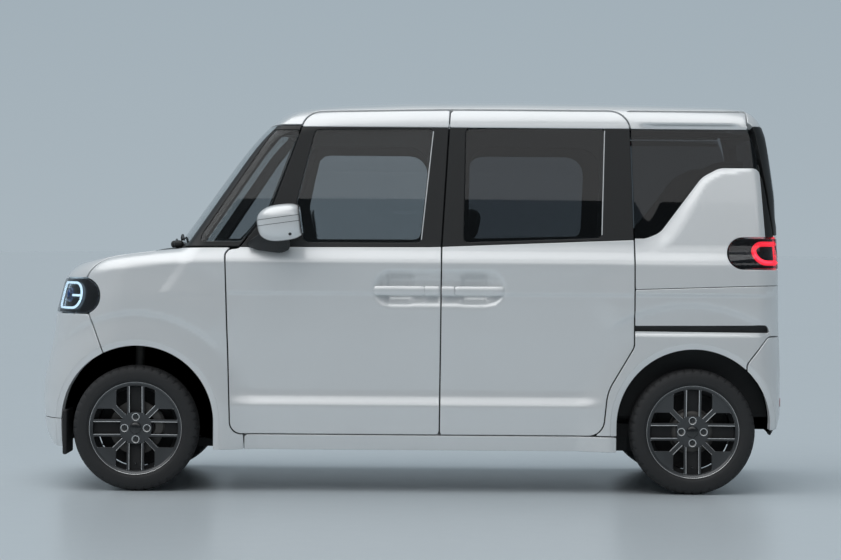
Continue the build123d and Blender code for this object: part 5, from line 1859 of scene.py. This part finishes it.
    def plates(self) -> None:
        """Builds the blank plates, the reflectors and the tailgate's grip."""
        s = self.s
        form = self.skin.form
        outline = Outline.rounded(rect((-0.165, -0.0825), (0.165, 0.0825), 0.008))
        front_x = s.x_front - 0.0075
        front = moved(plate(outline, front_x, front_x + 0.006, 0, 0.001), (0, 0, 0.425))
        rear_x = s.x_rear + float(form.tail(np.array(0.8)))
        rear = moved(plate(outline, rear_x - 0.002, rear_x + 0.005, 0, 0.001), (0, 0, 0.8))
        head = 0.008 * np.array([(math.cos(a), math.sin(a)) for a in np.linspace(0, 5.3, 12)])
        bolt = plate(head, front_x - 0.002, front_x + 0.002, 0, 0.001)
        bolts = moved(bolt, (0, -0.105, 0.465)).plus(moved(bolt, (0, 0.105, 0.465)))
        self.place("front_plate", front, PAINTS.blank, "body", "paint")
        self.place("front_plate_bolts", bolts, PAINTS.steel, "body", "steel")
        self.place("rear_plate", rear, PAINTS.blank, "tailgate", "paint")
        corners = ((-0.26, -0.02, 0.012), (0.26, -0.02, 0.012), (0.25, 0.02, 0.012), (-0.25, 0.02, 0.012))
        rear_x = s.x_rear + float(form.tail(np.array(0.93)))
        grip = plate(Outline.rounded(corners), rear_x - 0.01, rear_x + 0.012, 0, 0.006)
        self.place("tailgate_grip", moved(grip, (0, 0, 0.925)), PAINTS.plastic, "tailgate", "black_plastic")
        spot = Outline(rect((-0.64, 0.392), (-0.54, 0.432), 0.012), (1, 2))
        scan = Patch(Ray.TAIL_DRUM, (0.6, 1.1), (0.38, 0.45), (0.01, 0.008), s.tail_axis, -0.002)
        glass = self.skin.panel(scan, (spot.within(),), 0.006, 0.0015)
        self.pairs(("reflector_{}", glass, PAINTS.red_plastic, "body", "tail_lamp"))

    def handles(self) -> None:
        """Builds the door handles in their recess."""
        y, z, seam_x = -(self.s.half_w + 0.001), 0.906, 0.1315
        t = np.linspace(-1, 1, 25)
        for name, low, high, split, body in (
            ("front", -0.17, 0.1262, 0.06, "front_door_{}"), ("slide", 0.1368, 0.421, 0.196, "body"),
        ):
            parts = []
            for start, stop in ((low, split - 0.0012), (split + 0.0012, high)):
                x = (start + stop) / 2 + t * (stop - start) / 2
                outer = np.where(np.abs(x - seam_x) > 0.2, np.abs(t), 0.0)
                path = np.stack([x, y + 0.008 * outer ** 6, np.full(len(t), z)], 1)
                parts.append(tube(path, 0.0084 * (1 - 0.16 * np.abs(t) ** 30), 20, False, 2.5))
            for foot in (low + 0.04, high - 0.04):
                parts.append(blob((foot, y + 0.014, z), (0.026, 0.014, 0.016), 2.6, 14, 24))
            self.pairs((f"{name}_handle_{{}}", joined(parts), PAINTS.body, body, "paint"))

    def mirrors(self) -> None:
        """Builds the door mirrors."""
        lean = Matrix.Rotation(math.radians(-8), 4, "Y")
        middle = (-0.577, -0.836, 1.205)
        half, power, cut_x, narrow = (0.106, 0.085, 0.081), 3.2, 0.088, 0.16
        shell = blob((0, 0, 0), half, power, 44, 72)
        q = shell.points
        taper = 1 - narrow * (q[:, 0] < 0) * (q[:, 0] / half[0]) ** 2
        cut = np.stack([np.minimum(q[:, 0], cut_x), q[:, 1] * taper, q[:, 2] * taper], 1)
        shell = shaded(cut, shell.faces, 40)
        turn = np.linspace(-2.6, 0.9, 60)
        lines = []
        for h in (0.024, -0.002):
            cross = (1 - (abs(h) / half[2]) ** power) ** (1 / power)
            ring = np.stack([np.cos(turn - math.pi / 2 + 0.3), np.sin(turn - math.pi / 2 + 0.3)], 1)
            ring *= ((np.abs(ring) ** power).sum(1) ** (-1 / power))[:, None]
            taper = 1 - narrow * (ring[:, 0] < 0) * ring[:, 0] ** 2
            x = np.minimum(ring[:, 0] * half[0] * cross, cut_x)
            y = ring[:, 1] * half[1] * cross * taper
            lines.append(tube(np.stack([x, y, np.full(60, h)], 1), 0.0011, 6))
        rim = Outline.rounded(rect((-0.07, -0.064), (0.07, 0.064), 0.035))
        glass = plate(rim * 0.94, 0.0875, 0.09, 0, 0.001)
        bezel = plate(rim * 1.06, 0.086, 0.0885, 0, 0.001)
        sections = (
            (-0.7, (-0.772, 1.112), (-0.69, 1.078), (-0.585, 1.064), (-0.545, 1.08), (-0.548, 1.112),
             (-0.66, 1.126)),
            (-0.752, (-0.748, 1.12), (-0.68, 1.09), (-0.585, 1.076), (-0.54, 1.094), (-0.542, 1.135),
             (-0.65, 1.15)),
            (-0.8, (-0.69, 1.142), (-0.65, 1.12), (-0.585, 1.112), (-0.545, 1.13), (-0.545, 1.175),
             (-0.64, 1.185)),
            (-0.835, (-0.655, 1.172), (-0.63, 1.16), (-0.59, 1.158), (-0.56, 1.168), (-0.56, 1.195),
             (-0.63, 1.2)),
        )
        rows = []
        for y, *corners in sections:
            loop = self.spaced(Outline.rounded([(a, b, 0.018) for a, b in corners]), 40)
            rows.append(np.stack([loop[:, 0], np.full(40, y), loop[:, 1]], 1))
        points, faces = strip(rows, True, True)
        eye = blob((0.036, -0.0745, -0.056), (0.007, 0.007, 0.007), 2, 12, 20)
        grooves = joined([*lines, eye, bezel])
        shell, grooves, glass = (moved(shape, middle, lean) for shape in (shell, grooves, glass))
        body = "front_door_{}"
        self.pairs(
            ("mirror_shell_{}", shell, PAINTS.body, body, "paint", "door_mirror_{}"),
            ("mirror_grooves_{}", grooves, PAINTS.plastic, body, "black_plastic"),
            ("mirror_glass_{}", glass, PAINTS.mirror, body, "steel"),
            ("mirror_foot_{}", shaded(points, faces, 40), PAINTS.plastic, body, "black_plastic"),
        )

    def wipers(self) -> None:
        """Builds the front and rear wipers."""
        axis = (-0.3, 0.0)
        arms = []
        for pivot, reach in ((-0.53, 0.56), (0.07, 0.46)):
            t = np.linspace(0, 1, 24)
            y = pivot + reach * t
            phi = np.arctan2(-y, 0.74)
            rows = (
                np.stack([phi, 1.128 + 0.02 * np.sin(math.pi * t)], 1),
                np.stack([phi[:13], 1.112 + 0.03 * t[:13]], 1),
            )
            blade = self.on_skin(Ray.NOSE_DRUM, axis, rows[0], -0.012)
            arm = self.on_skin(Ray.NOSE_DRUM, axis, rows[1], -0.022)
            hub = blob(arm[0] + np.array((0, 0, -0.006)), (0.022, 0.022, 0.018), 2.5, 14, 24)
            arms += [tube(blade, 0.006, 8), tube(arm, np.linspace(0.01, 0.005, 13), 8), hub]
        self.place("front_wipers", joined(arms), PAINTS.plastic, "body", "black_plastic")
        t = np.linspace(0, 1, 20)
        path = self.on_skin(Ray.REAR, axis, np.stack([-0.02 + 0.36 * t, 1.205 + 0.012 * t], 1), -0.014)
        hub = blob(path[0] + np.array((-0.002, 0, 0)), (0.02, 0.026, 0.026), 2.4, 14, 24)
        arm = tube(path, np.linspace(0.01, 0.005, 20), 8)
        self.place("rear_wiper", arm.plus(hub), PAINTS.plastic, "tailgate", "black_plastic")

    def liners(self) -> None:
        """Builds the liners of the wheel arches and the deflectors ahead of the front wheels."""
        s = self.s
        for name, axle, deep, angles, foot, nodes in (
            ("front", s.front_axle, 0.4, (-1.9, 1.9), -0.1, ("front_arch_liners",)),
            ("rear", s.rear_axle, 0.525, (1.0, 1.9), -0.022, ()),
        ):
            turn = np.linspace(*angles, 61)
            arc = np.stack([np.sin(turn), np.cos(turn)], 1) * (s.arch_r + 0.012)
            arc[:, 1] = np.maximum(arc[:, 1], foot)
            rim = np.stack([axle + 0.003 + arc[:, 0], s.arch_z + arc[:, 1]], 1)
            skin = self.on_skin(Ray.SIDE, (0, 0), rim, 0.02)
            rows = []
            for k in np.linspace(0, 1, 5):
                rows.append(np.stack([rim[:, 0], skin[:, 1] * (1 - k) - deep * k, rim[:, 1]], 1))
            drop = 1.0 if name == "rear" else 0.0
            for k in (1.0, 0.8, 0.6, 0.4):
                high = s.arch_z + arc[:, 1] * (k + drop * (1 - k))
                rows.append(np.stack([axle + 0.003 + arc[:, 0] * k, np.full(61, -deep), high], 1))
            points, faces = strip(rows, False)
            sheet = shaded(points, np.concatenate([faces, faces[:, ::-1]]), 60)
            self.pairs((f"{name}_liner_{{}}", sheet, PAINTS.under, "body", "black_plastic", *nodes))
        corners = ((-0.7, 0.16, 0.012), (-0.47, 0.16, 0.012), (-0.46, 0.36, 0.01), (-0.705, 0.36, 0.01))
        flap = plate(Outline.rounded(corners), s.front_axle - 0.328, s.front_axle - 0.31, 0, 0.004)
        self.pairs(("wheel_deflector_{}", flap, PAINTS.under, "body", "black_plastic"))

    def inner_frames(self) -> None:
        """Builds the dark inner frames round the door openings."""
        s, l, form = self.s, self.lines, self.skin.form
        patch = Patch(Ray.SIDE, (-0.9, 1.56), (0.24, 1.7), (0.032, 0.032), (0.0, 0.0), 0.07)
        rake = form.SHIELD_RAKE
        shield: Field = lambda p: form.SHIELD_X + 0.205 + rake * (p[:, 2] - form.SHIELD_Z) - p[:, 0]
        ceiling: Field = lambda p: p[:, 2] - (s.height + form.roof(p[:, 0]) - 0.145)
        fields = (
            l.front_door.beyond(-0.05), l.slide_door.beyond(-0.05), l.quarter_window.beyond(-0.03),
            s.off_arches(0.02), ceiling, over(0.26), ahead(1.5), l.front_quarter.beyond(-0.012), shield,
        )
        frame_part = self.skin.panel(patch, fields, 0.03)
        self.pairs(("inner_frame_{}", frame_part, PAINTS.trim, "body", "black_plastic"))

    def window_trims(self) -> None:
        """Builds the bright trims at the rear edges of the door windows."""
        run = np.linspace(0, 1, 30)[:, None]
        for name, foot, head, body in (
            ("front", (0.045, 1.134), (0.096, 1.622), "front_door_{}"),
            ("slide", (0.8535, 1.16), (0.8665, 1.63), "body"),
        ):
            path = self.on_skin(Ray.SIDE, (0, 0), np.array(foot) * (1 - run) + np.array(head) * run, 0.0)
            self.pairs((f"{name}_window_trim_{{}}", tube(path, 0.0028, 8), PAINTS.bright, body, "steel"))

    def exhaust(self) -> None:
        """Builds the exhaust's pipe, its silencer with rolled seams and the hollow tail pipe."""
        low, high = (np.array(corner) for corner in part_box("exhaust"))
        turn = np.linspace(0, 2 * math.pi, 64, endpoint=False)
        ring = np.stack([np.cos(turn), np.zeros(64), np.sin(turn)], 1)
        oval = ring / (np.abs(ring) ** 2.8).sum(1, keepdims=True) ** (1 / 2.8) * (0.088, 1, 0.062)
        middle = np.array((high[0] - 0.09, high[1] - 0.195, low[2] + 0.0635))
        half = ((0.189, 0.8), (0.186, 0.93), (0.178, 0.99), (0.172, 1.0), (0.166, 0.965))
        steps = [*[(-y, k) for y, k in half], *reversed(half)]
        points, faces = strip([middle + (0, y, 0) + oval * k for y, k in steps], True, True)
        can = shaded(points, faces[:, ::-1], 40)
        first, y, z = low[0] + 0.019, high[1] - 0.06, low[2] + 0.022
        corners = np.array([
            (first, 0.15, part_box("engine")[0][2]), (first, 0.15, z), (first + 0.33, 0.15, z),
            (first + 0.64, y, z), (high[0] - 0.17, y, z),
        ])
        path = [corners[:1]]
        for back, here, on in zip(corners, corners[1:], corners[2:]):
            ends = [here + (c - here) * min(0.045 / np.linalg.norm(c - here), 0.45) for c in (back, on)]
            t = np.linspace(0, 1, 9)[:, None]
            path.append(ends[0] * (1 - t) ** 2 + 2 * here * t * (1 - t) + ends[1] * t**2)
        pipe = tube(np.concatenate([*path, corners[-1:]]), 0.019, 20)
        hook = (high[0] - 0.14, high[1] - 0.22)
        hanger = rod((*hook, low[2] + 0.08), (*hook, high[2]), 0.006)
        spin = np.stack([np.zeros(64), np.cos(turn), np.sin(turn)], 1)
        at = np.array((high[0] - 0.02, high[1] - 0.33, low[2] + 0.036))
        lip = ((0, 0.021), (0.072, 0.021), (0.074, 0.02), (0.072, 0.0185), (0.01, 0.0185))
        points, faces = strip([at + (x, 0, 0) + r * spin for x, r in lip], True, True)
        tip = shaded(points, faces, 40)
        self.place("exhaust_look", can.plus(pipe, hanger, tip), PAINTS.dull, "body", "steel", "exhaust")

    def build(self) -> None:
        """Builds every fitting."""
        self.headlamps()
        self.grille()
        self.tail_lamps()
        self.plates()
        self.handles()
        self.mirrors()
        self.wipers()
        self.liners()
        self.inner_frames()
        self.window_trims()
        self.exhaust()


# The cabin


@dataclass(frozen=True)
class SeatPlan:
    """The place and size of one row of seats, in metres."""

    row: str
    x: float
    base_z: float
    depth: float
    back_z: float
    y: float
    half: float
    foot_z: float


@dataclass
class Cabin(Assembly):
    """The seats, the dashboard and the steering wheel."""

    s: CarSizes
    skin: Skinner
    cap: float = 0.014
    voxel: float = 0.011
    dash_x: float = -0.859
    dash_half: float = 0.58
    wheel_at: tuple[float, float, float] = (-0.4545, 0.345, 0.985)
    wheel_r: float = 0.18
    rows: tuple[SeatPlan, ...] = (
        SeatPlan("front", -0.359, 0.59, 0.47, 1.13, -0.279, 0.255, 0.25),
        SeatPlan("rear", 0.631, 0.62, 0.44, 1.1, -0.25, 0.24, 0.365),
    )

    def filled(self, shape: Surface) -> Surface:
        """Lets pressure swell a pad a little, as cloth over its filling.

        Args:
            shape: The pad as cut.

        Returns:
            The pad as filled.
        """
        scene = bpy.context.scene
        holder = bpy.data.objects.new("pad_form", shape.mesh("pad_form"))
        scene.collection.objects.link(holder)
        even = holder.modifiers.new("even", "REMESH")
        even.mode, even.voxel_size = "VOXEL", self.voxel
        cut = bpy.data.meshes.new_from_object(holder.evaluated_get(bpy.context.evaluated_depsgraph_get()))
        holder.modifiers.clear()
        holder.data = cut
        cloth = holder.modifiers.new("filling", "CLOTH")
        cloth.settings.use_pressure = True
        cloth.settings.uniform_pressure_force = 4
        cloth.settings.effector_weights.gravity = 0
        for step in range(1, 21):
            scene.frame_set(step)
        full = bpy.data.meshes.new_from_object(holder.evaluated_get(bpy.context.evaluated_depsgraph_get()))
        scene.frame_set(1)
        bpy.data.objects.remove(holder)
        places = []
        for mesh in (cut, full):
            flat = np.empty(3 * len(mesh.vertices), np.float32)
            mesh.vertices.foreach_get("co", flat)
            places.append(flat.reshape(-1, 3).astype(float))
        full.calc_loop_triangles()
        faces = np.empty(3 * len(full.loop_triangles), np.int32)
        full.loop_triangles.foreach_get("vertices", faces)
        move = places[1] - places[0]
        size = np.linalg.norm(move, axis=1, keepdims=True)
        move *= np.minimum(1, self.cap / np.maximum(size, 1e-9))
        return shaded(places[0] + move, faces.reshape(-1, 3), 60)

    def pad(self, half: Corner, channels: Sequence[float]) -> Surface:
        """A filled pad about the origin, its face towards +Z.

        Args:
            half: Half its size along each axis.
            channels: Places of the sewn channels along X, as shares of its half length.

        Returns:
            The pad's surface.
        """
        size = np.array(half) - 0.01
        form = blob((0, 0, 0), size, 4.5, 44, 80)
        x, y, z = (form.points / size).T
        cut = size * np.stack([x * (1 - 0.05 * (1 - y * y)), y * (1 - 0.05 * (1 - x * x)), z], 1)
        cut[:, 2] += 0.012 * (z > 0) * (1 - x * x) * (1 - y * y)
        full = self.filled(shaded(cut, form.faces, 60))
        p = full.points.copy()
        face = ease(0.15, 0.45, full.normals[:, 2])
        bolster = np.maximum(np.abs(p[:, 1]) / half[1] - 0.55, 0) / 0.45
        p[:, 2] += 0.016 * face * ease(0, 0.8, bolster) * (1 - ease(0.8, 1.0, bolster))
        for at in channels:
            inside = 1 - ease(0.5, 0.58, np.abs(p[:, 1]) / half[1])
            p[:, 2] -= 0.009 * face * inside * np.exp(-(((p[:, 0] - at * half[0]) / 0.009) ** 2))
        groove = np.exp(-(((np.abs(p[:, 1]) - 0.56 * half[1]) / 0.008) ** 2))
        p[:, 2] -= 0.009 * face * groove
        return shaded(p, full.faces, 60)

    def piping(self, half: Corner) -> Surface:
        """The sewn cord round a pad's face."""
        a, b = half[0] * 0.93, half[1] * 0.95
        loop = Outline.rounded(rect((-a, -b), (a, b), 0.07))
        path = np.column_stack([loop, np.full(len(loop), half[2] * 0.8)])
        return tube(path, 0.0032, 8, True)

    def seats(self) -> None:
        """Builds both rows of seats."""
        for plan in self.rows:
            base = (plan.depth / 2, plan.half, 0.078)
            lean = math.atan2(0.14, plan.back_z - plan.base_z)
            tall = (math.hypot(0.14, plan.back_z - plan.base_z) / 2 + 0.012, plan.half * 0.97, 0.062)
            turn = Matrix.Rotation(lean - math.pi / 2, 4, "Y")
            end = plan.x + plan.depth
            low = (end - plan.depth / 2 - 0.035, plan.y, plan.base_z - 0.068)
            high = (end + 0.062, plan.y, (plan.base_z + plan.back_z) / 2 + 0.004)
            rest = (end + 0.16, plan.y, plan.back_z + 0.078)
            head = self.pad((0.08, 0.122, 0.048), (0.0,))
            pieces = (
                ("cushion", moved(self.pad(base, (-0.45, 0.0, 0.45)), low), 0.6),
                ("back", moved(self.pad(tall, (-0.5, -0.15, 0.2, 0.55)), high, turn), 0.6),
                ("headrest", moved(head, rest, Matrix.Rotation(0.2 - math.pi / 2, 4, "Y")), 0.7),
            )
            cords = moved(self.piping(base), low).plus(moved(self.piping(tall), high, turn))
            top = plan.back_z
            posts = [
                rod((end + 0.105, plan.y + d, top - 0.06), (end + 0.15, plan.y + d, top + 0.04), 0.006)
                for d in (-0.06, 0.06)
            ]
            drop = plan.base_z - 0.135
            plinth = blob(
                (plan.x + plan.depth * 0.46, plan.y, (drop + plan.foot_z) / 2 + 0.006),
                (plan.depth * 0.4, plan.half * 0.82, (drop - plan.foot_z) / 2 + 0.01), 7.0,
            )
            rail_z = plan.foot_z + 0.012
            rails = [
                rod((plan.x + 0.01, plan.y + d, rail_z), (end - 0.05, plan.y + d, rail_z), 0.011)
                for d in (-0.17, 0.17)
            ]
            stand = plinth.plus(*posts, *rails)
            for side in Side:
                word = f"{plan.row}_{side.word}"
                for name, shape, fill in pieces:
                    nodes = (f"{plan.row}_seats",) if word.endswith("left") and name == "cushion" else ()
                    label = f"seat_{name}_{word}"
                    piece = self.place(label, shape.on(side), PAINTS.cloth, "body", "cloth", *nodes)
                self.place(f"seat_piping_{word}", cords.on(side), PAINTS.trim, "body", "cloth")
                self.place(f"seat_frame_{word}", stand.on(side), PAINTS.plastic, "body", "black_plastic")

    def dashboard(self) -> None:
        """Builds the dashboard with its hood, screen, vents and glove box."""
        x = self.dash_x
        outline = Outline.rounded((
            (x, 0.64, 0), (x + 0.12, 0.64, 0.03), (x + 0.235, 0.77, 0.06), (x + 0.262, 0.86, 0.03),
            (x + 0.236, 0.9, 0.02), (x + 0.29, 0.955, 0.03), (x + 0.215, 1.035, 0.07), (x, 1.056, 0),
        ))
        loop = Fittings.spaced(outline, 80)
        rows = []
        for share in np.linspace(-1, 1, 41):
            bow = 1 - 0.1 * share**4 - 0.2 * max(abs(share) - 0.95, 0) / 0.05
            across = np.full(80, share * self.dash_half)
            rows.append(np.stack([x + (loop[:, 0] - x) * bow, across, loop[:, 1]], 1))
        points, faces = strip(rows, True, True)
        board = shaded(points, faces[:, ::-1], 40)
        hood = blob((x + 0.185, self.wheel_at[1], 1.045), (0.1, 0.165, 0.034), 3.2)
        screen_edge = Outline.rounded(rect((-0.115, -0.062), (0.115, 0.062), 0.01))
        tilt = Matrix.Rotation(math.radians(-12), 4, "Y")
        screen = moved(plate(screen_edge, -0.008, 0.008, 0, 0.003), (x + 0.272, 0.0, 1.01), tilt)
        slats = []
        for y in (-0.49, -0.2, 0.2, 0.5):
            for z in (0.938, 0.952, 0.966, 0.98):
                slats.append(rod((x + 0.279, y - 0.045, z), (x + 0.279, y + 0.045, z), 0.004, 8))
        glove = Outline.rounded(rect((-0.5, 0.7), (-0.16, 0.83), 0.02))
        door = np.stack([x + 0.172 + (glove[:, 1] - 0.7) * 0.5, glove[:, 0], glove[:, 1]], 1)
        self.place("dash_board", board.plus(hood), PAINTS.trim, "body", "black_plastic", "dashboard")
        self.place("dash_screen", screen, PAINTS.black, "body", "black_gloss")
        self.place("dash_vents", joined(slats), PAINTS.steel, "body", "steel")
        self.place("glove_box_edge", tube(door, 0.0022, 6, True), PAINTS.plastic, "body", "black_plastic")

    def steering(self) -> None:
        """Builds the steering wheel and its column."""
        turn = np.linspace(0, 2 * math.pi, 72, endpoint=False)
        circle = np.stack([self.wheel_r * np.cos(turn), self.wheel_r * np.sin(turn), np.zeros(72)], 1)
        ring = tube(circle, 0.0145, 16, True)
        run = np.linspace(0, 1, 14)
        spokes = []
        for a in (0.0, math.pi / 2, -math.pi / 2):
            reach = 0.05 + (self.wheel_r - 0.055) * run
            path = np.stack([reach * math.cos(a), reach * math.sin(a), -0.022 * (1 - run)], 1)
            spokes.append(tube(path, 0.0085 + 0.008 * (1 - run) ** 2, 14))
        boss = blob((0, 0, -0.012), (0.066, 0.074, 0.026), 3.0)
        column = tube(np.array([(0, 0, -0.02), (0, 0, -0.09), (0, 0, -0.26)]), (0.036, 0.042, 0.046), 24)
        tilt = Matrix.Rotation(math.radians(62), 4, "Y")
        whole = moved(ring.plus(*spokes, boss, column), self.wheel_at, tilt)
        self.place("steering_wheel_look", whole, PAINTS.trim, "body", "black_plastic", "steering_wheel")

    def build(self) -> None:
        """Builds the whole cabin."""
        self.seats()
        self.dashboard()
        self.steering()


# The stage


@dataclass(frozen=True)
class Stage:
    """The pale floor, the soft light and the camera."""

    camera_at: tuple[float, float, float] = (0.041, -12.7, 1.1)
    pitch: float = math.radians(-0.7)
    roll: float = math.radians(-0.411)
    lens: float = 114.7
    horizon: tuple[float, float, float] = (0.398, 0.464, 0.51)
    sky: tuple[float, float, float] = (0.36, 0.43, 0.48)
    dim: float = 0.25
    sun_power: float = 1.7
    sun_way: tuple[float, float, float] = (0.35, 0.25, -1.0)

    def floor(self) -> None:
        """Builds the floor."""
        mesh = bpy.data.meshes.new("floor")
        grid = bmesh.new()
        bmesh.ops.create_grid(grid, x_segments=8, y_segments=8, size=400)
        grid.to_mesh(mesh)
        grid.free()
        pale = Finish("pale_floor", (0.56, 0.61, 0.64), 0.3, 0, 0, 0.03, 0.6, 0.06, 60, 5e-5)
        mesh.materials.append(pale.material())
        floor = bpy.data.objects.new("floor", mesh)
        bpy.context.scene.collection.objects.link(floor)
        floor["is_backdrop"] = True

    def area(self, name: str, at: Corner, aim: Corner, size: tuple[float, float], power: float) -> None:
        """Adds a soft box light.

        Args:
            name: The light's name.
            at: Its place.
            aim: The point it faces.
            size: Its width and height.
            power: Its power in watts.
        """
        lamp = bpy.data.lights.new(name, "AREA")
        lamp.shape, lamp.energy = "RECTANGLE", power
        lamp.size, lamp.size_y = size
        holder = bpy.data.objects.new(name, lamp)
        holder.location = at
        holder.rotation_mode = "QUATERNION"
        holder.rotation_quaternion = (Vector(aim) - Vector(at)).to_track_quat("-Z", "Y")
        bpy.context.scene.collection.objects.link(holder)

    def light(self) -> None:
        """Sets the soft light."""
        world = bpy.data.worlds.new("studio")
        bpy.context.scene.world = world
        world.use_nodes = True
        tree = world.node_tree
        place, split, ramp = (
            tree.nodes.new(f"ShaderNode{kind}") for kind in ("TexCoord", "SeparateXYZ", "ValToRGB")
        )
        tree.links.new(place.outputs["Generated"], split.inputs[0])
        tree.links.new(split.outputs["Z"], ramp.inputs["Fac"])
        tree.links.new(ramp.outputs["Color"], tree.nodes["Background"].inputs["Color"])
        dim = tree.nodes.new("ShaderNodeMapRange")
        for label, value in (("From Min", -1.0), ("From Max", 1.0), ("To Min", self.dim), ("To Max", 1.0)):
            dim.inputs[label].default_value = value
        tree.links.new(split.outputs["Y"], dim.inputs["Value"])
        tree.links.new(dim.outputs["Result"], tree.nodes["Background"].inputs["Strength"])
        bpy.context.scene.view_settings.view_transform = "Standard"
        stops = ramp.color_ramp.elements
        stops[0].position, stops[0].color = 0.0, (*self.horizon, 1)
        stops[1].position, stops[1].color = 0.11, (*self.sky, 1)
        sun = bpy.data.lights.new("sun", "SUN")
        sun.energy, sun.angle = self.sun_power, math.radians(75)
        holder = bpy.data.objects.new("sun", sun)
        holder.rotation_mode = "QUATERNION"
        holder.rotation_quaternion = Vector(self.sun_way).to_track_quat("-Z", "Y")
        bpy.context.scene.collection.objects.link(holder)
        self.area("wall_light", (0.04, -13.0, 8.1), (0.04, 0, 0.9), (18, 4.6), 230)

    def camera(self) -> None:
        """Sets the camera at the picture's angle."""
        eye = bpy.data.cameras.new("camera")
        eye.lens, eye.sensor_width = self.lens, 36.0
        holder = bpy.data.objects.new("camera", eye)
        turn = Matrix.Rotation(self.roll, 4, "Y") @ Matrix.Rotation(math.pi / 2 + self.pitch, 4, "X")
        holder.matrix_world = Matrix.Translation(self.camera_at) @ turn
        bpy.context.scene.collection.objects.link(holder)
        bpy.context.scene.camera = holder

    def build(self) -> None:
        """Builds the whole stage."""
        self.floor()
        self.light()
        self.camera()


CAD_FINISH: dict[str, Finish] = {
    "paint": PAINTS.body, "glass": PAINTS.tint, "clear_glass": PAINTS.clear, "headlamp": PAINTS.black,
    "tail_lamp": PAINTS.black, "black_gloss": PAINTS.black, "black_plastic": PAINTS.plastic,
    "steel": PAINTS.steel, "iron": PAINTS.iron, "underbody": PAINTS.under, "alloy": PAINTS.alloy,
    "tyre": PAINTS.rubber, "cloth": PAINTS.cloth,
}


def dress_frame() -> None:
    """Gives each CAD node that is still shown the finish of its slot."""
    slots = {part["node"]: part["material_slot"] for part in frame["record"]["subparts"]}
    for name, node in frame["nodes"].items():
        if node.hide_render:
            continue
        node.data.materials.clear()
        node.data.materials.append(CAD_FINISH[slots[name]].material())


def write_sizes() -> None:
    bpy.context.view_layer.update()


def main() -> None:
    """Builds every sub-assembly in order."""
    logging.basicConfig(level=logging.INFO, format="%(message)s")
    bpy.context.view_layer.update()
    sizes = CarSizes.from_frame()
    skinner = Skinner(BodyForm(sizes))
    lines = Lines(sizes)
    Wheels(sizes, skinner).build()
    BodyPanels(sizes, skinner, lines).build()
    Closures(sizes, skinner, lines).build()
    Fittings(sizes, skinner, lines).build()
    Cabin(sizes, skinner).build()
    dress_frame()
    Stage().build()
    write_sizes()


if __name__ == "__main__":
    main()
